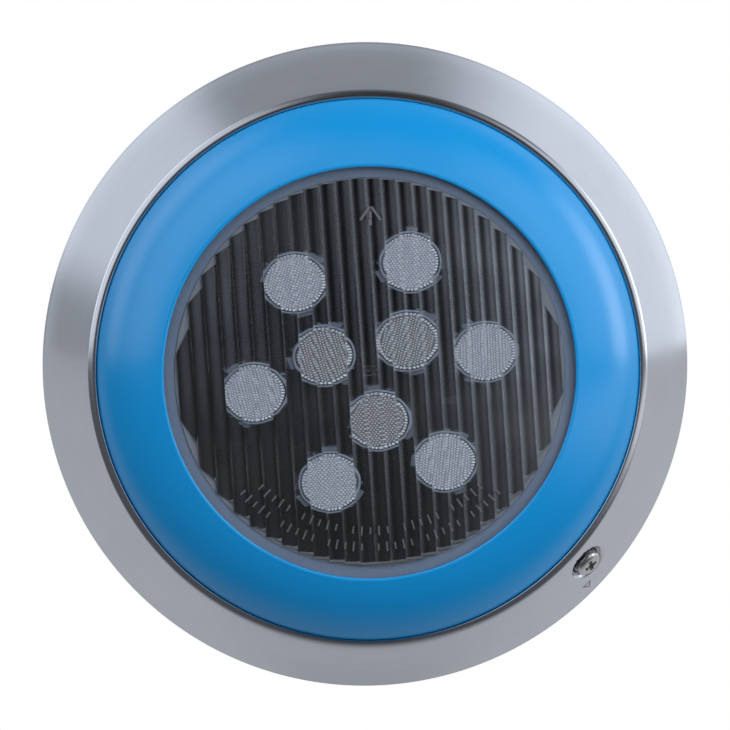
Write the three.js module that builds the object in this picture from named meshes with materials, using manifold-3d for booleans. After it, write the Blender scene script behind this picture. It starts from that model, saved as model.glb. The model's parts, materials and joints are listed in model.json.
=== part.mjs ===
// Wall-hung underwater pool light, face 230 mm across. Millimetres, +Z up.
// The lamp's axis runs along Y and its face looks towards -Y. Depths d are measured from the
// wall, so y = -d. The origin is the centre of the wall bracket's back face, on the lamp's axis.
import * as THREE from 'three';
import { mergeVertices } from 'three/addons/utils/BufferGeometryUtils.js';
import Module from 'manifold-3d';

const wasm = await Module();
wasm.setup();

// ---------------------------------------------------------------- driving dimensions

const GAP = 0.3;             // clearance between pieces that touch
const FACETS = 48;           // facets round every part that shares the lamp's axis

const FACE_RADIUS = 115;     // outer radius of the steel face ring
const FACE_SHEET = 1;        // its sheet thickness
const FACE_REAR = 5;         // depth of the skirt's free edge
const CONE_FOOT = [114.3, 11.5];   // [radius, depth] where the cone leaves the skirt's corner
const CONE_HEAD = [98, 34.2];      // and where it meets the rolled inner edge
const CONE_TURN = 12.5;            // degrees by which the cone's slope eases over that length
const LIP_RADIUS = 95;       // bore of the rolled lip
const LIP_CREST = 35.6;

const TRIM_OUTER = [94.5, 35.2];
const TRIM_INNER = [72, 49];
const TRIM_TURN = 33;        // degrees turned by the trim ring's crowned face
const TRIM_WALL = 2.4;
const TRIM_SEAT = 47.8;      // depth of the seat that holds the lens's flange
const WINDOW_RADIUS = 71.2;

const LENS_RADIUS = 75.3;
const LENS_FLANGE = [45.1, 47.5];
const LENS_APEX = 52.5;
const LENS_INNER_APEX = 49.3;
const FLUTE_ZONE = 67.2;     // radius filled by the flutes
const FLUTE_PITCH = 5.3;
const FLUTE_DEPTH = 0.5;
const FLUTE_LEAN = 4;        // degrees, tops leaning to the left as seen from the front
const FLUTES_EACH_SIDE = 12;  // beside the one that stands on the axis

const BACK_DEPTH = 7;        // depth of the housing's back face
const CUP_RADIUS = 54;
const CARRIER_REAR = 27.2;   // rear face of the carrier's shelf, against the cup
const SHELF_DEPTH = 29.2;    // front face of the shelf that carries the heat sink
const WELL_RADIUS = 68.6;    // bore of the housing in front of the shelf
const RIM_RADIUS = 75.2;     // outer radius of the rim under the gasket
const RIM_DEPTH = 43;        // and its front face
const COLLAR_DEPTH = 40.2;   // front face of the clamp ring's collar, behind the rim
const HOOP_BORE = 89.5;      // bore of the hoop that carries the skirt
const SKIRT_RADIUS = 92;
const SKIRT_REAR = 20.6;
const FLANGE_DEPTH = 33.5;
const SHOULDER_RADIUS = 96;  // shoulder that the face ring's lip seats on
const SHOULDER_DEPTH = 31.5;
const COVER_SCREW_RADIUS = 82;
const COVER_SCREW_ANGLES = [45, 135, 225, 315];

const BOARD_DEPTH = 32.8;
const BOARD_THICK = 1.5;
const BOARD_RADIUS = 67;
const BOARD_SCREW_RADIUS = 60;
const BOARD_SCREW_ANGLES = [90, 210, 330];
const LED_RINGS = [
  { radius: 40.5, first: 10, count: 6 },
  { radius: 16.9, first: 40, count: 3 },
];
const LEAD_HOLE = [28.2, -10.3];   // x, z of the hole that the light engine's lead comes through

const STUD_HEIGHT = 40;      // height of the hanging studs above and below the axis
const LIFT = 10;             // how far the lamp lifts to clear the keyholes
const STRIP_WIDTH = 34;
const STRIP_THICK = 2;
const STRIP_OFFSET = 4.5;    // depth of the back of the bracket's raised ends

const GLAND_DEPTH = 18;      // depth of the gland's axis, which points straight down
const GLAND_FLATS = 14;      // across flats of the gland's hexagons
const PAD_FACE = 55.5;       // distance of the gland pad's face from the lamp's axis
const CABLE_RADIUS = 3.3;

const SCREW_AZIMUTH = -41.5; // degrees from +X, seen from the front
const SCREW_TILT = 50;       // degrees from the lamp's axis, leaning outwards
const SCREW_RADIUS = 104.2;  // radius where the screw's axis meets the cone's surface
const DIMPLE_RADIUS = 7.3;
const DIMPLE_SINK = 1.9;     // depth of the dimple's floor below the surface point

// ---------------------------------------------------------------- solids

const radians = THREE.MathUtils.degToRad;

function signedVolume(geometry) {
  const points = geometry.attributes.position;
  const index = geometry.index;
  const [a, b, c] = [new THREE.Vector3(), new THREE.Vector3(), new THREE.Vector3()];
  let total = 0;
  for (let i = 0; i < index.count; i += 3) {
    a.fromBufferAttribute(points, index.getX(i));
    b.fromBufferAttribute(points, index.getX(i + 1));
    c.fromBufferAttribute(points, index.getX(i + 2));
    total += a.dot(b.cross(c)) / 6;
  }
  return total;
}

// The same surface with shared corners merged, slivers dropped and every face pointing out.
function closed(geometry) {
  const bare = geometry.clone();
  bare.deleteAttribute('normal');
  bare.deleteAttribute('uv');
  const merged = mergeVertices(bare, 1e-4);
  const corners = merged.index.array;
  const kept = [];
  for (let i = 0; i < corners.length; i += 3) {
    const [a, b, c] = corners.slice(i, i + 3);
    if (a !== b && b !== c && c !== a) kept.push(a, b, c);
  }
  merged.setIndex(kept);
  if (signedVolume(merged) < 0) merged.setIndex(kept.reverse());
  return merged;
}

function toManifold(geometry) {
  const merged = closed(geometry);
  return new wasm.Manifold(new wasm.Mesh({
    numProp: 3,
    vertProperties: new Float32Array(merged.attributes.position.array),
    triVerts: new Uint32Array(merged.index.array),
  }));
}

function fromManifold(manifold) {
  const mesh = manifold.getMesh();
  const geometry = new THREE.BufferGeometry();
  geometry.setAttribute('position', new THREE.BufferAttribute(mesh.vertProperties, 3));
  geometry.setIndex(new THREE.BufferAttribute(mesh.triVerts, 1));
  return geometry;
}

// One body: the first geometry, joined with the second list and cut by the third.
function build(base, joined, cuts) {
  let body = toManifold(base);
  for (const extra of joined) body = body.add(toManifold(extra));
  for (const cut of cuts) body = body.subtract(toManifold(cut));
  return fromManifold(body);
}

function common(first, second) {
  return fromManifold(toManifold(first).intersect(toManifold(second)));
}

// A profile of [radius, height] points, turned about Y. One that leaves the axis is closed on
// itself, so it makes a ring.
function revolve(profile, facets, start = 0) {
  const points = profile.map(([radius, height]) => new THREE.Vector2(radius, height));
  const onAxis = profile[0][0] === 0;
  if (!onAxis) points.push(points[0].clone());
  return closed(new THREE.LatheGeometry(points, facets, start));
}

// The same, for a profile of [radius, depth] points on the lamp's own axis.
function onLamp(profile, facets = FACETS) {
  return revolve(profile.map(([radius, depth]) => [radius, -depth]), facets);
}

// A straight round bar along Y between two depths, at x, z.
function bar(radius, from, to, x = 0, z = 0, facets = 16) {
  const shaft = new THREE.CylinderGeometry(radius, radius, to - from, facets);
  return shaft.translate(x, -(from + to) / 2, z);
}

// A bar along a local +Y axis, between two stations of it.
function rod(radius, from, to, facets = 20) {
  return new THREE.CylinderGeometry(radius, radius, to - from, facets)
    .translate(0, (from + to) / 2, 0);
}

// A six-sided prism along local +Y with two of its flats facing local Z.
function hexagon(acrossFlats, from, to) {
  const corner = acrossFlats / 2 / Math.cos(Math.PI / 6);
  return new THREE.CylinderGeometry(corner, corner, to - from, 6, 1, false, Math.PI / 6)
    .translate(0, (from + to) / 2, 0);
}

function block(width, depth, height, x, d, z) {
  return new THREE.BoxGeometry(width, depth, height).translate(x, -d, z);
}

// A flat shape drawn in x and z, given thickness from one depth to another.
function plate(shape, from, to, curveSegments = 8) {
  const options = { depth: to - from, bevelEnabled: false, curveSegments };
  const basis = new THREE.Matrix4().makeBasis(
    new THREE.Vector3(1, 0, 0),
    new THREE.Vector3(0, 0, 1),
    new THREE.Vector3(0, -1, 0),
  );
  return new THREE.ExtrudeGeometry(shape, options).applyMatrix4(basis).translate(0, -from, 0);
}

function roundedRectangle(width, low, high, corner) {
  const half = width / 2;
  const shape = new THREE.Shape();
  shape.moveTo(-half + corner, low);
  shape.lineTo(half - corner, low);
  shape.absarc(half - corner, low + corner, corner, -Math.PI / 2, 0);
  shape.lineTo(half, high - corner);
  shape.absarc(half - corner, high - corner, corner, 0, Math.PI / 2);
  shape.lineTo(-half + corner, high);
  shape.absarc(-half + corner, high - corner, corner, Math.PI / 2, Math.PI);
  shape.lineTo(-half, low + corner);
  shape.absarc(-half + corner, low + corner, corner, Math.PI, Math.PI * 1.5);
  return shape;
}

// Centre, radius and end angles of the arc from one [radius, depth] point to another that bulges
// away from the wall and turns by the given angle.
function arcThrough(from, to, turn) {
  const [dr, dd] = [to[0] - from[0], to[1] - from[1]];
  const chord = Math.hypot(dr, dd);
  const half = radians(turn) / 2;
  const radius = chord / 2 / Math.sin(half);
  const sag = radius * Math.cos(half);
  const centre = [
    (from[0] + to[0]) / 2 - dd / chord * sag,
    (from[1] + to[1]) / 2 + dr / chord * sag,
  ];
  const start = Math.atan2(from[1] - centre[1], from[0] - centre[0]);
  return { centre, radius, start, sweep: radians(turn) };
}

// Points along such an arc, moved inwards from it by an offset.
function alongArc(arc, steps, offset = 0) {
  const points = [];
  for (let i = 0; i <= steps; i++) {
    const angle = arc.start + arc.sweep * i / steps;
    const reach = arc.radius - offset;
    points.push([arc.centre[0] + reach * Math.cos(angle), arc.centre[1] + reach * Math.sin(angle)]);
  }
  return points;
}

// Depth of the arc's surface at a radius from the lamp's axis, moved inwards by an offset.
function arcDepth(arc, radius, offset = 0) {
  const reach = arc.radius - offset;
  return arc.centre[1] + Math.sqrt(reach * reach - (radius - arc.centre[0]) ** 2);
}

function around(radius, degrees) {
  return [radius * Math.cos(radians(degrees)), radius * Math.sin(radians(degrees))];
}

// ---------------------------------------------------------------- materials

function finish(color, roughness, metalness, opacity = 1) {
  return new THREE.MeshStandardMaterial({
    color, roughness, metalness, opacity, transparent: opacity < 1,
  });
}

const STEEL = finish(0xaeb2bc, 0.3, 1);
const SCREW_STEEL = finish(0xb9bcc2, 0.25, 1);
const BLUE_PLASTIC = finish(0x2f97d3, 0.28, 0);
const CLEAR_PLASTIC = finish(0xdfe8f0, 0.06, 0, 0.35);
const OPTIC_PLASTIC = finish(0xc9d0da, 0.12, 0, 0.6);
const WHITE_PLASTIC = finish(0xdfe1dd, 0.45, 0);
const GREY_RUBBER = finish(0x7c8792, 0.7, 0);
const BLACK_RUBBER = finish(0x1b1c1e, 0.75, 0);
const BLACK_NYLON = finish(0x202123, 0.5, 0);
const ALUMINIUM = finish(0xb4b7ba, 0.4, 1);
const BLACK_BOARD = finish(0x17191d, 0.45, 0);
const GREEN_BOARD = finish(0x1f5c3a, 0.5, 0);
const LED_YELLOW = finish(0xe4cf6a, 0.4, 0);
const CAPACITOR_SLEEVE = finish(0x2a3350, 0.4, 0);
const GREEN_PLASTIC = finish(0x2f8f55, 0.45, 0);
const LEAD_JACKET = finish(0xb02a26, 0.5, 0);

// ---------------------------------------------------------------- scene graph

const poolLight = new THREE.Group();

function place(name, geometry, material, parent = poolLight) {
  const mesh = new THREE.Mesh(closed(geometry), material);
  mesh.name = name;
  parent.add(mesh);
  return mesh;
}

// ---------------------------------------------------------------- wall bracket and studs

function keyhole(height) {
  const slot = 2.8;
  const entry = 5.2;
  const meet = Math.asin(slot / entry);
  const shape = new THREE.Shape();
  shape.absarc(0, height, slot, Math.PI, Math.PI * 2);
  shape.absarc(0, height + LIFT, entry, meet - Math.PI / 2, Math.PI * 1.5 - meet);
  return plate(shape, STRIP_OFFSET - 1, STRIP_OFFSET + STRIP_THICK + 1, 10);
}

function wallBracket() {
  const [bottom, top] = [-52, 61];
  const [raised, front] = [STRIP_OFFSET, STRIP_OFFSET + STRIP_THICK];
  const side = new THREE.Shape([
    [bottom, raised], [-23, raised], [-16.5, 0], [28, 0], [33, raised], [top, raised],
    [top, front], [32.2, front], [27.2, STRIP_THICK], [-15.7, STRIP_THICK],
    [-22.2, front], [bottom, front],
  ].map(([z, d]) => new THREE.Vector2(z, d)));
  const basis = new THREE.Matrix4().makeBasis(
    new THREE.Vector3(0, 0, 1),
    new THREE.Vector3(0, -1, 0),
    new THREE.Vector3(1, 0, 0),
  );
  const strip = new THREE.ExtrudeGeometry(side, { depth: STRIP_WIDTH, bevelEnabled: false })
    .applyMatrix4(basis).translate(-STRIP_WIDTH / 2, 0, 0);
  const outline = plate(roundedRectangle(STRIP_WIDTH, bottom, top, 6), -1, front + 1, 5);
  const screwHoles = [-11, 11].map((x) => bar(2.75, -1, 4, x, 5));
  return build(common(strip, outline), [], [
    keyhole(STUD_HEIGHT), keyhole(-STUD_HEIGHT), ...screwHoles,
  ]);
}

// A mushroom-headed shoulder stud, screwed into the housing's back.
function hangStud(height) {
  return revolve([
    [0, -1], [4, -1], [4.6, -1.5], [4.6, -4.2], [2.5, -4.2], [2.5, -BACK_DEPTH + GAP],
    [1.7, -BACK_DEPTH + GAP], [1.7, -12.6], [1.3, -13], [0, -13],
  ], 16).translate(0, 0, height);
}

// ---------------------------------------------------------------- lamp body

function driverPosts() {
  const posts = [];
  for (const x of [-23, 23]) {
    for (const z of [-24, 28]) {
      posts.push(bar(2.6, 9, 15.7, x, z, 12));
      posts.push(bar(1.4, 15, 18.8, x, z, 12));
    }
  }
  return posts;
}

function alongGland(geometry) {
  return geometry.rotateX(-Math.PI / 2).translate(0, -GLAND_DEPTH, 0);
}

// Back cup. The driver stands on posts in its floor.
function rearHousing() {
  const wall = 2.5;
  const front = CARRIER_REAR - GAP;
  const shell = onLamp([
    [0, BACK_DEPTH], [50.5, BACK_DEPTH], [52.9, BACK_DEPTH + 1.2], [CUP_RADIUS, BACK_DEPTH + 4],
    [CUP_RADIUS, front], [CUP_RADIUS - wall, front], [CUP_RADIUS - wall, BACK_DEPTH + 4.5],
    [49.5, BACK_DEPTH + wall], [0, BACK_DEPTH + wall],
  ]);
  const studs = [-STUD_HEIGHT, STUD_HEIGHT];
  const joined = [
    ...studs.map((z) => bar(4.8, 8.5, 15, 0, z)),
    ...driverPosts(),
    alongGland(rod(8.8, 52, PAD_FACE, 24)),
  ];
  const cuts = [
    ...studs.map((z) => bar(2, 6, 13.4, 0, z)),
    alongGland(rod(6.3, 45, 60, 24)),
  ];
  return build(shell, joined, cuts);
}

// Shelf, well and rim in front of the cup. Its spigot fits inside the cup's wall.
function engineCarrier() {
  const wall = 2.5;
  const spigot = CUP_RADIUS - wall - GAP;
  const shell = onLamp([
    [spigot - wall, 25], [spigot, 25], [spigot, CARRIER_REAR], [WELL_RADIUS + wall, CARRIER_REAR],
    [WELL_RADIUS + wall, COLLAR_DEPTH + GAP], [RIM_RADIUS, COLLAR_DEPTH + GAP],
    [RIM_RADIUS, RIM_DEPTH], [WELL_RADIUS, RIM_DEPTH], [WELL_RADIUS, SHELF_DEPTH],
    [spigot - wall, SHELF_DEPTH],
  ]);
  const spots = BOARD_SCREW_ANGLES.map((angle) => around(BOARD_SCREW_RADIUS, angle));
  const bosses = spots.map(([x, z]) => bar(3.2, 24.6, 28, x, z, 12));
  return build(shell, bosses, spots.map(([x, z]) => bar(1.8, 25.3, 30, x, z, 12)));
}

// Ring that pulls on the back of the carrier's rim. Its flange takes the cover screws.
function clampRing() {
  const [back, front] = [FLANGE_DEPTH - 2.5, FLANGE_DEPTH];
  const bore = WELL_RADIUS + 2.5 + GAP;
  const edge = HOOP_BORE - GAP;
  const shell = onLamp([
    [bore, back], [edge, back], [edge, 31.9], [edge + 1, 31.9], [edge + 1, 32.6], [edge, 32.6],
    [edge, front], [RIM_RADIUS, front], [RIM_RADIUS, COLLAR_DEPTH], [bore, COLLAR_DEPTH],
  ]);
  const spots = COVER_SCREW_ANGLES.map((angle) => around(COVER_SCREW_RADIUS, angle));
  return build(shell, [], spots.map(([x, z]) => bar(1.9, back - 1, front + 1, x, z, 12)));
}

// Hoop snapped onto the clamp ring's edge. Its shoulder seats the face ring's lip and its skirt
// is what the face ring hooks behind.
function skirtHoop() {
  return onLamp([
    [HOOP_BORE, SKIRT_REAR], [SKIRT_RADIUS, SKIRT_REAR], [SKIRT_RADIUS, 29],
    [SHOULDER_RADIUS, 29], [SHOULDER_RADIUS, SHOULDER_DEPTH], [SKIRT_RADIUS, SHOULDER_DEPTH],
    [SKIRT_RADIUS, FLANGE_DEPTH], [HOOP_BORE, FLANGE_DEPTH], [HOOP_BORE, 32.9],
    [HOOP_BORE + 1, 32.9], [HOOP_BORE + 1, 31.6], [HOOP_BORE, 31.6],
  ]);
}

// Blue crowned ring that clamps the lens, with four screw bosses behind its face.
function trimRing() {
  const face = arcThrough(TRIM_OUTER, TRIM_INNER, TRIM_TURN);
  const underside = alongArc(face, 6, TRIM_WALL).reverse()
    .filter(([radius]) => radius > 79 && radius < 92);
  const foot = FLANGE_DEPTH + GAP;
  const wall = [75.7, 77.9];
  const shell = onLamp([
    ...alongArc(face, 6), [WINDOW_RADIUS, 48.6], [WINDOW_RADIUS, TRIM_SEAT],
    [wall[0], TRIM_SEAT], [wall[0], 40.2], [wall[1], 40.2],
    [wall[1], arcDepth(face, wall[1], TRIM_WALL)], ...underside,
    [TRIM_OUTER[0] - TRIM_WALL, foot], [TRIM_OUTER[0], foot],
  ]);
  const spots = COVER_SCREW_ANGLES.map((angle) => around(COVER_SCREW_RADIUS, angle));
  const roots = COVER_SCREW_ANGLES.map((angle) => around(COVER_SCREW_RADIUS - 1.8, angle));
  const bosses = [
    ...spots.map(([x, z]) => bar(3.4, foot, 42.4, x, z, 12)),
    ...roots.map(([x, z]) => bar(2.2, 41, 44, x, z, 12)),
  ];
  const bores = spots.map(([x, z]) => bar(1.8, foot - 1, 41, x, z, 12));
  return build(shell, bosses, bores);
}

// Self-tapping screw from behind, through the housing's flange into the trim ring.
function coverScrew(angle) {
  const [x, z] = around(COVER_SCREW_RADIUS, angle);
  const seat = FLANGE_DEPTH - 2.5 - GAP;
  return onLamp([
    [0, seat - 2.4], [2.2, seat - 2.4], [3, seat - 1.4], [3, seat], [1.5, seat],
    [1.5, 39], [0.4, 40.5], [0, 40.5],
  ], 12).translate(x, 0, z);
}

function lensGasket() {
  const [back, front] = [RIM_DEPTH + GAP, LENS_FLANGE[0] - GAP];
  return onLamp([[67.4, back], [75, back], [75, front], [67.4, front]]);
}

// Depth of the lens's inner surface between the flutes, a shallow paraboloid.
function lensInner(radius) {
  const edge = LENS_FLANGE[0] + 0.5;
  return LENS_INNER_APEX - (LENS_INNER_APEX - edge) * (radius / FLUTE_ZONE) ** 2;
}

// The hollow behind one strip of the lens: as wide as a strip, arched with the inner surface,
// sloped with it across the strip, and shallower along the middle, where the strip bulges
// towards the lamps, than at the grooves on both sides.
function fluteHollow(x) {
  const reach = Math.sqrt(FLUTE_ZONE ** 2 - (Math.abs(x) + FLUTE_PITCH / 2) ** 2);
  const [middle, end] = [lensInner(x), lensInner(Math.hypot(x, reach))];
  const path = new THREE.QuadraticBezierCurve3(
    new THREE.Vector3(x, -end, -reach),
    new THREE.Vector3(x, end - 2 * middle, 0),
    new THREE.Vector3(x, -end, reach),
  );
  const half = FLUTE_PITCH / 2 + 0.02;
  const slope = (lensInner(x - half) - lensInner(x + half)) / (2 * half);
  const section = new THREE.Shape([
    [-half, -6], [half, -6], [half, FLUTE_DEPTH], [half * 0.5, 0], [-half * 0.5, 0],
    [-half, FLUTE_DEPTH],
  ].map(([u, v]) => new THREE.Vector2(u, v + slope * u)));
  return new THREE.ExtrudeGeometry(section, { steps: 4, extrudePath: path });
}

function frontLens() {
  const rings = 4;
  const window = 70.8;
  const dome = [];
  for (let i = 0; i <= rings; i++) {
    const share = i / rings;
    dome.push([window * share, LENS_APEX - (LENS_APEX - LENS_FLANGE[1]) * share ** 2]);
  }
  const blank = onLamp([
    ...dome, [LENS_RADIUS, LENS_FLANGE[1]], [LENS_RADIUS, LENS_FLANGE[0]], [0, LENS_FLANGE[0]],
  ]);
  const flutes = [];
  for (let i = -FLUTES_EACH_SIDE; i <= FLUTES_EACH_SIDE; i++) {
    flutes.push(fluteHollow(i * FLUTE_PITCH).rotateY(radians(-FLUTE_LEAN)));
  }
  return build(blank, [], flutes);
}

// ---------------------------------------------------------------- light engine

function boardHoles(from, to) {
  const spots = BOARD_SCREW_ANGLES.map((angle) => around(BOARD_SCREW_RADIUS, angle));
  return [
    ...spots.map(([x, z]) => bar(1.9, from, to, x, z, 12)),
    bar(3, from, to, LEAD_HOLE[0], LEAD_HOLE[1], 12),
  ];
}

function heatSink() {
  const [back, front] = [SHELF_DEPTH + GAP, BOARD_DEPTH - GAP];
  const disc = onLamp([[0, back], [68, back], [68, front], [0, front]], 48);
  return build(disc, [], boardHoles(back - 1, front + 1));
}

function ledBoard() {
  const front = BOARD_DEPTH + BOARD_THICK;
  const disc = onLamp([
    [0, BOARD_DEPTH], [BOARD_RADIUS, BOARD_DEPTH], [BOARD_RADIUS, front], [0, front],
  ], 48);
  return build(disc, [], [...boardHoles(BOARD_DEPTH - 1, front + 1), bar(0.8, 32, 35)]);
}

function boardScrew(angle) {
  const [x, z] = around(BOARD_SCREW_RADIUS, angle);
  const seat = BOARD_DEPTH + BOARD_THICK + GAP;
  return onLamp([
    [0, 25.6], [0.5, 25.6], [1.5, 26.8], [1.5, seat], [2.8, seat],
    [2.8, seat + 1], [2, seat + 1.9], [0, seat + 1.9],
  ], 12).translate(x, 0, z);
}

const LED_SEAT = BOARD_DEPTH + BOARD_THICK + GAP;
const LED_FACETS = 12;

// Round package with a small silicone dome.
function ledEmitter() {
  return onLamp([
    [0, LED_SEAT], [2.6, LED_SEAT], [2.6, LED_SEAT + 1.1], [1.5, LED_SEAT + 1.2],
    [1.1, LED_SEAT + 2.1], [0, LED_SEAT + 2.6],
  ], 8);
}

function opticHolder() {
  return onLamp([
    [8.9, LED_SEAT], [10.9, LED_SEAT], [10.9, 44], [10.2, 44], [10.2, 42.4], [9.5, 42.4],
  ], LED_FACETS);
}

// Collimator with a flange at its mouth and a pocket over the emitter.
function ledOptic() {
  return onLamp([
    [0, 40.4], [2.5, 37.6], [4.6, 37.6], [9.1, 42.7], [9.9, 42.7], [9.9, 43.9], [0, 43.9],
  ], LED_FACETS);
}

function addLedModules() {
  let number = 1;
  for (const ring of LED_RINGS) {
    for (let i = 0; i < ring.count; i++) {
      const [x, z] = around(ring.radius, ring.first + i * 360 / ring.count);
      const module = new THREE.Group();
      module.position.set(x, 0, z);
      poolLight.add(module);
      place(`led_emitter_${number}`, ledEmitter(), LED_YELLOW, module);
      place(`optic_holder_${number}`, opticHolder(), WHITE_PLASTIC, module);
      place(`led_optic_${number}`, ledOptic(), OPTIC_PLASTIC, module);
      number += 1;
    }
  }
}

// ---------------------------------------------------------------- driver

const DRIVER_DEPTH = [16, 17.6];
const PART_SEAT = DRIVER_DEPTH[1] + GAP;

function driverBoard() {
  const slab = plate(roundedRectangle(54, -30, 34, 3), DRIVER_DEPTH[0], DRIVER_DEPTH[1], 4);
  const holes = [];
  for (const x of [-23, 23]) {
    for (const z of [-24, 28]) holes.push(bar(1.75, 15, 19, x, z, 12));
  }
  return build(slab, [], holes);
}

// An electrolytic can lying along X.
function smoothingCapacitor() {
  const [radius, length] = [5, 20];
  return revolve([
    [0, 0], [4.6, 0], [radius, 0.5], [radius, 2], [4.6, 2.5], [radius, 3],
    [radius, length - 0.5], [4.6, length], [0, length],
  ], 16).rotateZ(-Math.PI / 2).translate(-12, -(PART_SEAT + radius), 20);
}

function terminalBlock() {
  const body = block(16, 9, 9, -2, PART_SEAT + 4.5, -18);
  const ports = [-7, -2, 3].map((x) => block(3, 4, 5, x, PART_SEAT + 3, -22));
  const wells = [-7, -2, 3].map((x) => bar(1.6, PART_SEAT + 7, PART_SEAT + 10, x, -17, 8));
  return build(body, [], [...ports, ...wells]);
}

// Flat twin lead from the driver up through the light engine's lead hole.
function ledLead() {
  const [x, z] = LEAD_HOLE;
  const route = new THREE.CatmullRomCurve3([
    new THREE.Vector3(17, -(PART_SEAT + 0.3), -12),
    new THREE.Vector3(17.5, -22, -12),
    new THREE.Vector3(23, -25, -11.5),
    new THREE.Vector3(x, -28, z),
    new THREE.Vector3(x, -31, z),
    new THREE.Vector3(x, -(LED_SEAT + 0.2), z),
  ]);
  const section = new THREE.Shape();
  section.absarc(0.7, 0, 0.7, -Math.PI / 2, Math.PI / 2);
  section.absarc(-0.7, 0, 0.7, Math.PI / 2, Math.PI * 1.5);
  return new THREE.ExtrudeGeometry(section, { steps: 12, extrudePath: route, curveSegments: 2 });
}

// ---------------------------------------------------------------- cable gland
// Built along local +Y, whose stations are distances from the lamp's axis, then turned down.

const HEX_BACK = PAD_FACE + 2;
const HEX_FRONT = HEX_BACK + 4;
const THREAD_END = HEX_FRONT + 7.5;

function glandBody() {
  const joined = [rod(6, 48.3, HEX_BACK + 1, 16), rod(5.9, HEX_FRONT - 1, THREAD_END, 16)];
  const cuts = [rod(3.7, 44, THREAD_END + 1, 16), rod(4.7, HEX_FRONT + 1.5, THREAD_END + 1, 16)];
  return build(hexagon(GLAND_FLATS, HEX_BACK, HEX_FRONT), joined, cuts);
}

function glandORing() {
  const middle = (PAD_FACE + HEX_BACK) / 2;
  const ring = [];
  for (let i = 0; i < 8; i++) {
    const angle = (i + 0.5) * Math.PI / 4;
    ring.push([7.15 + 0.75 * Math.cos(angle), middle + 0.75 * Math.sin(angle)]);
  }
  return revolve(ring, 16);
}

function glandSeal() {
  const [back, front] = [HEX_FRONT + 1.5 + GAP, THREAD_END + 1.5];
  return revolve([
    [CABLE_RADIUS, back], [4.4, back], [4.4, front - 0.8], [4.1, front], [CABLE_RADIUS, front],
  ], 20);
}

const SLIP_BACK = THREAD_END + 1.5 + GAP;

function glandSlipRing() {
  return revolve([
    [CABLE_RADIUS + 0.1, SLIP_BACK], [5.4, SLIP_BACK], [5.4, SLIP_BACK + 1],
    [CABLE_RADIUS + 0.1, SLIP_BACK + 1],
  ], 20);
}

function glandNut() {
  const back = HEX_FRONT + 0.5;
  const ceiling = SLIP_BACK + 1 + GAP;
  const dome = revolve([
    [0, back], [8.2, back], [8.2, back + 6.5], [7.2, back + 8], [6.4, ceiling + 1.4],
    [5.2, ceiling + 2.4], [0, ceiling + 2.4],
  ], 24);
  const prism = hexagon(GLAND_FLATS, back - 1, ceiling + 4);
  const cuts = [rod(6.2, back - 1, ceiling), rod(CABLE_RADIUS + 0.1, back, ceiling + 4)];
  return build(common(dome, prism), [], cuts);
}

function addGland() {
  const gland = new THREE.Group();
  gland.position.y = -GLAND_DEPTH;
  gland.rotation.x = -Math.PI / 2;
  poolLight.add(gland);
  place('gland_body', glandBody(), BLACK_NYLON, gland);
  place('gland_o_ring', glandORing(), BLACK_RUBBER, gland);
  place('gland_seal', glandSeal(), BLACK_RUBBER, gland);
  place('gland_slip_ring', glandSlipRing(), WHITE_PLASTIC, gland);
  place('gland_nut', glandNut(), BLACK_NYLON, gland);
}

// ---------------------------------------------------------------- face ring and its screw

const CONE = arcThrough(CONE_FOOT, CONE_HEAD, CONE_TURN);

function facePoint(radius, offset = 0) {
  return [radius, arcDepth(CONE, radius, offset)];
}

// Outer surface of the face ring from the skirt's free edge to the end of the rolled lip.
function faceOutline() {
  return [
    [FACE_RADIUS, FACE_REAR], [FACE_RADIUS, 10], ...alongArc(CONE, 4),
    [97, 35.2], [96, LIP_CREST], [LIP_RADIUS, 34.8], [LIP_RADIUS, 32],
  ];
}

function faceSheet() {
  const inside = alongArc(CONE, 4, FACE_SHEET).reverse();
  return onLamp([
    ...faceOutline(), [LIP_RADIUS + FACE_SHEET, 32], [LIP_RADIUS + FACE_SHEET, 34.3],
    ...inside, [FACE_RADIUS - FACE_SHEET, 9.8], [FACE_RADIUS - FACE_SHEET, FACE_REAR],
  ]);
}

// Position and turn of the screw: local +Y leaves the face along the screw's axis.
function screwFrame() {
  const [azimuth, tilt] = [radians(SCREW_AZIMUTH), radians(SCREW_TILT)];
  const outward = new THREE.Vector3(
    Math.cos(azimuth) * Math.sin(tilt), -Math.cos(tilt), Math.sin(azimuth) * Math.sin(tilt),
  );
  const tangent = new THREE.Vector3(-Math.sin(azimuth), 0, Math.cos(azimuth));
  const across = new THREE.Vector3().crossVectors(tangent, outward);
  const [x, z] = around(SCREW_RADIUS, SCREW_AZIMUTH);
  return new THREE.Matrix4().makeBasis(tangent, outward, across)
    .setPosition(x, -facePoint(SCREW_RADIUS)[1], z);
}

// The sheet, with a flat-bottomed dimple pressed in square to the screw's axis.
function faceRing() {
  const frame = screwFrame();
  const set = (geometry) => geometry.applyMatrix4(frame);
  const behindFace = onLamp([...faceOutline(), [80, 32], [80, FACE_REAR]]);
  const outer = DIMPLE_RADIUS + FACE_SHEET;
  const floor = -DIMPLE_SINK - FACE_SHEET;
  const hollow = set(rod(DIMPLE_RADIUS, -DIMPLE_SINK, 5));
  const cup = build(set(rod(outer, floor, 4)), [], [hollow]);
  const pierced = build(faceSheet(), [], [set(rod(DIMPLE_RADIUS + 0.5, -6, 5))]);
  return build(pierced, [common(cup, behindFace)], [set(rod(2.8, -6, 1, 16))]);
}

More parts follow.
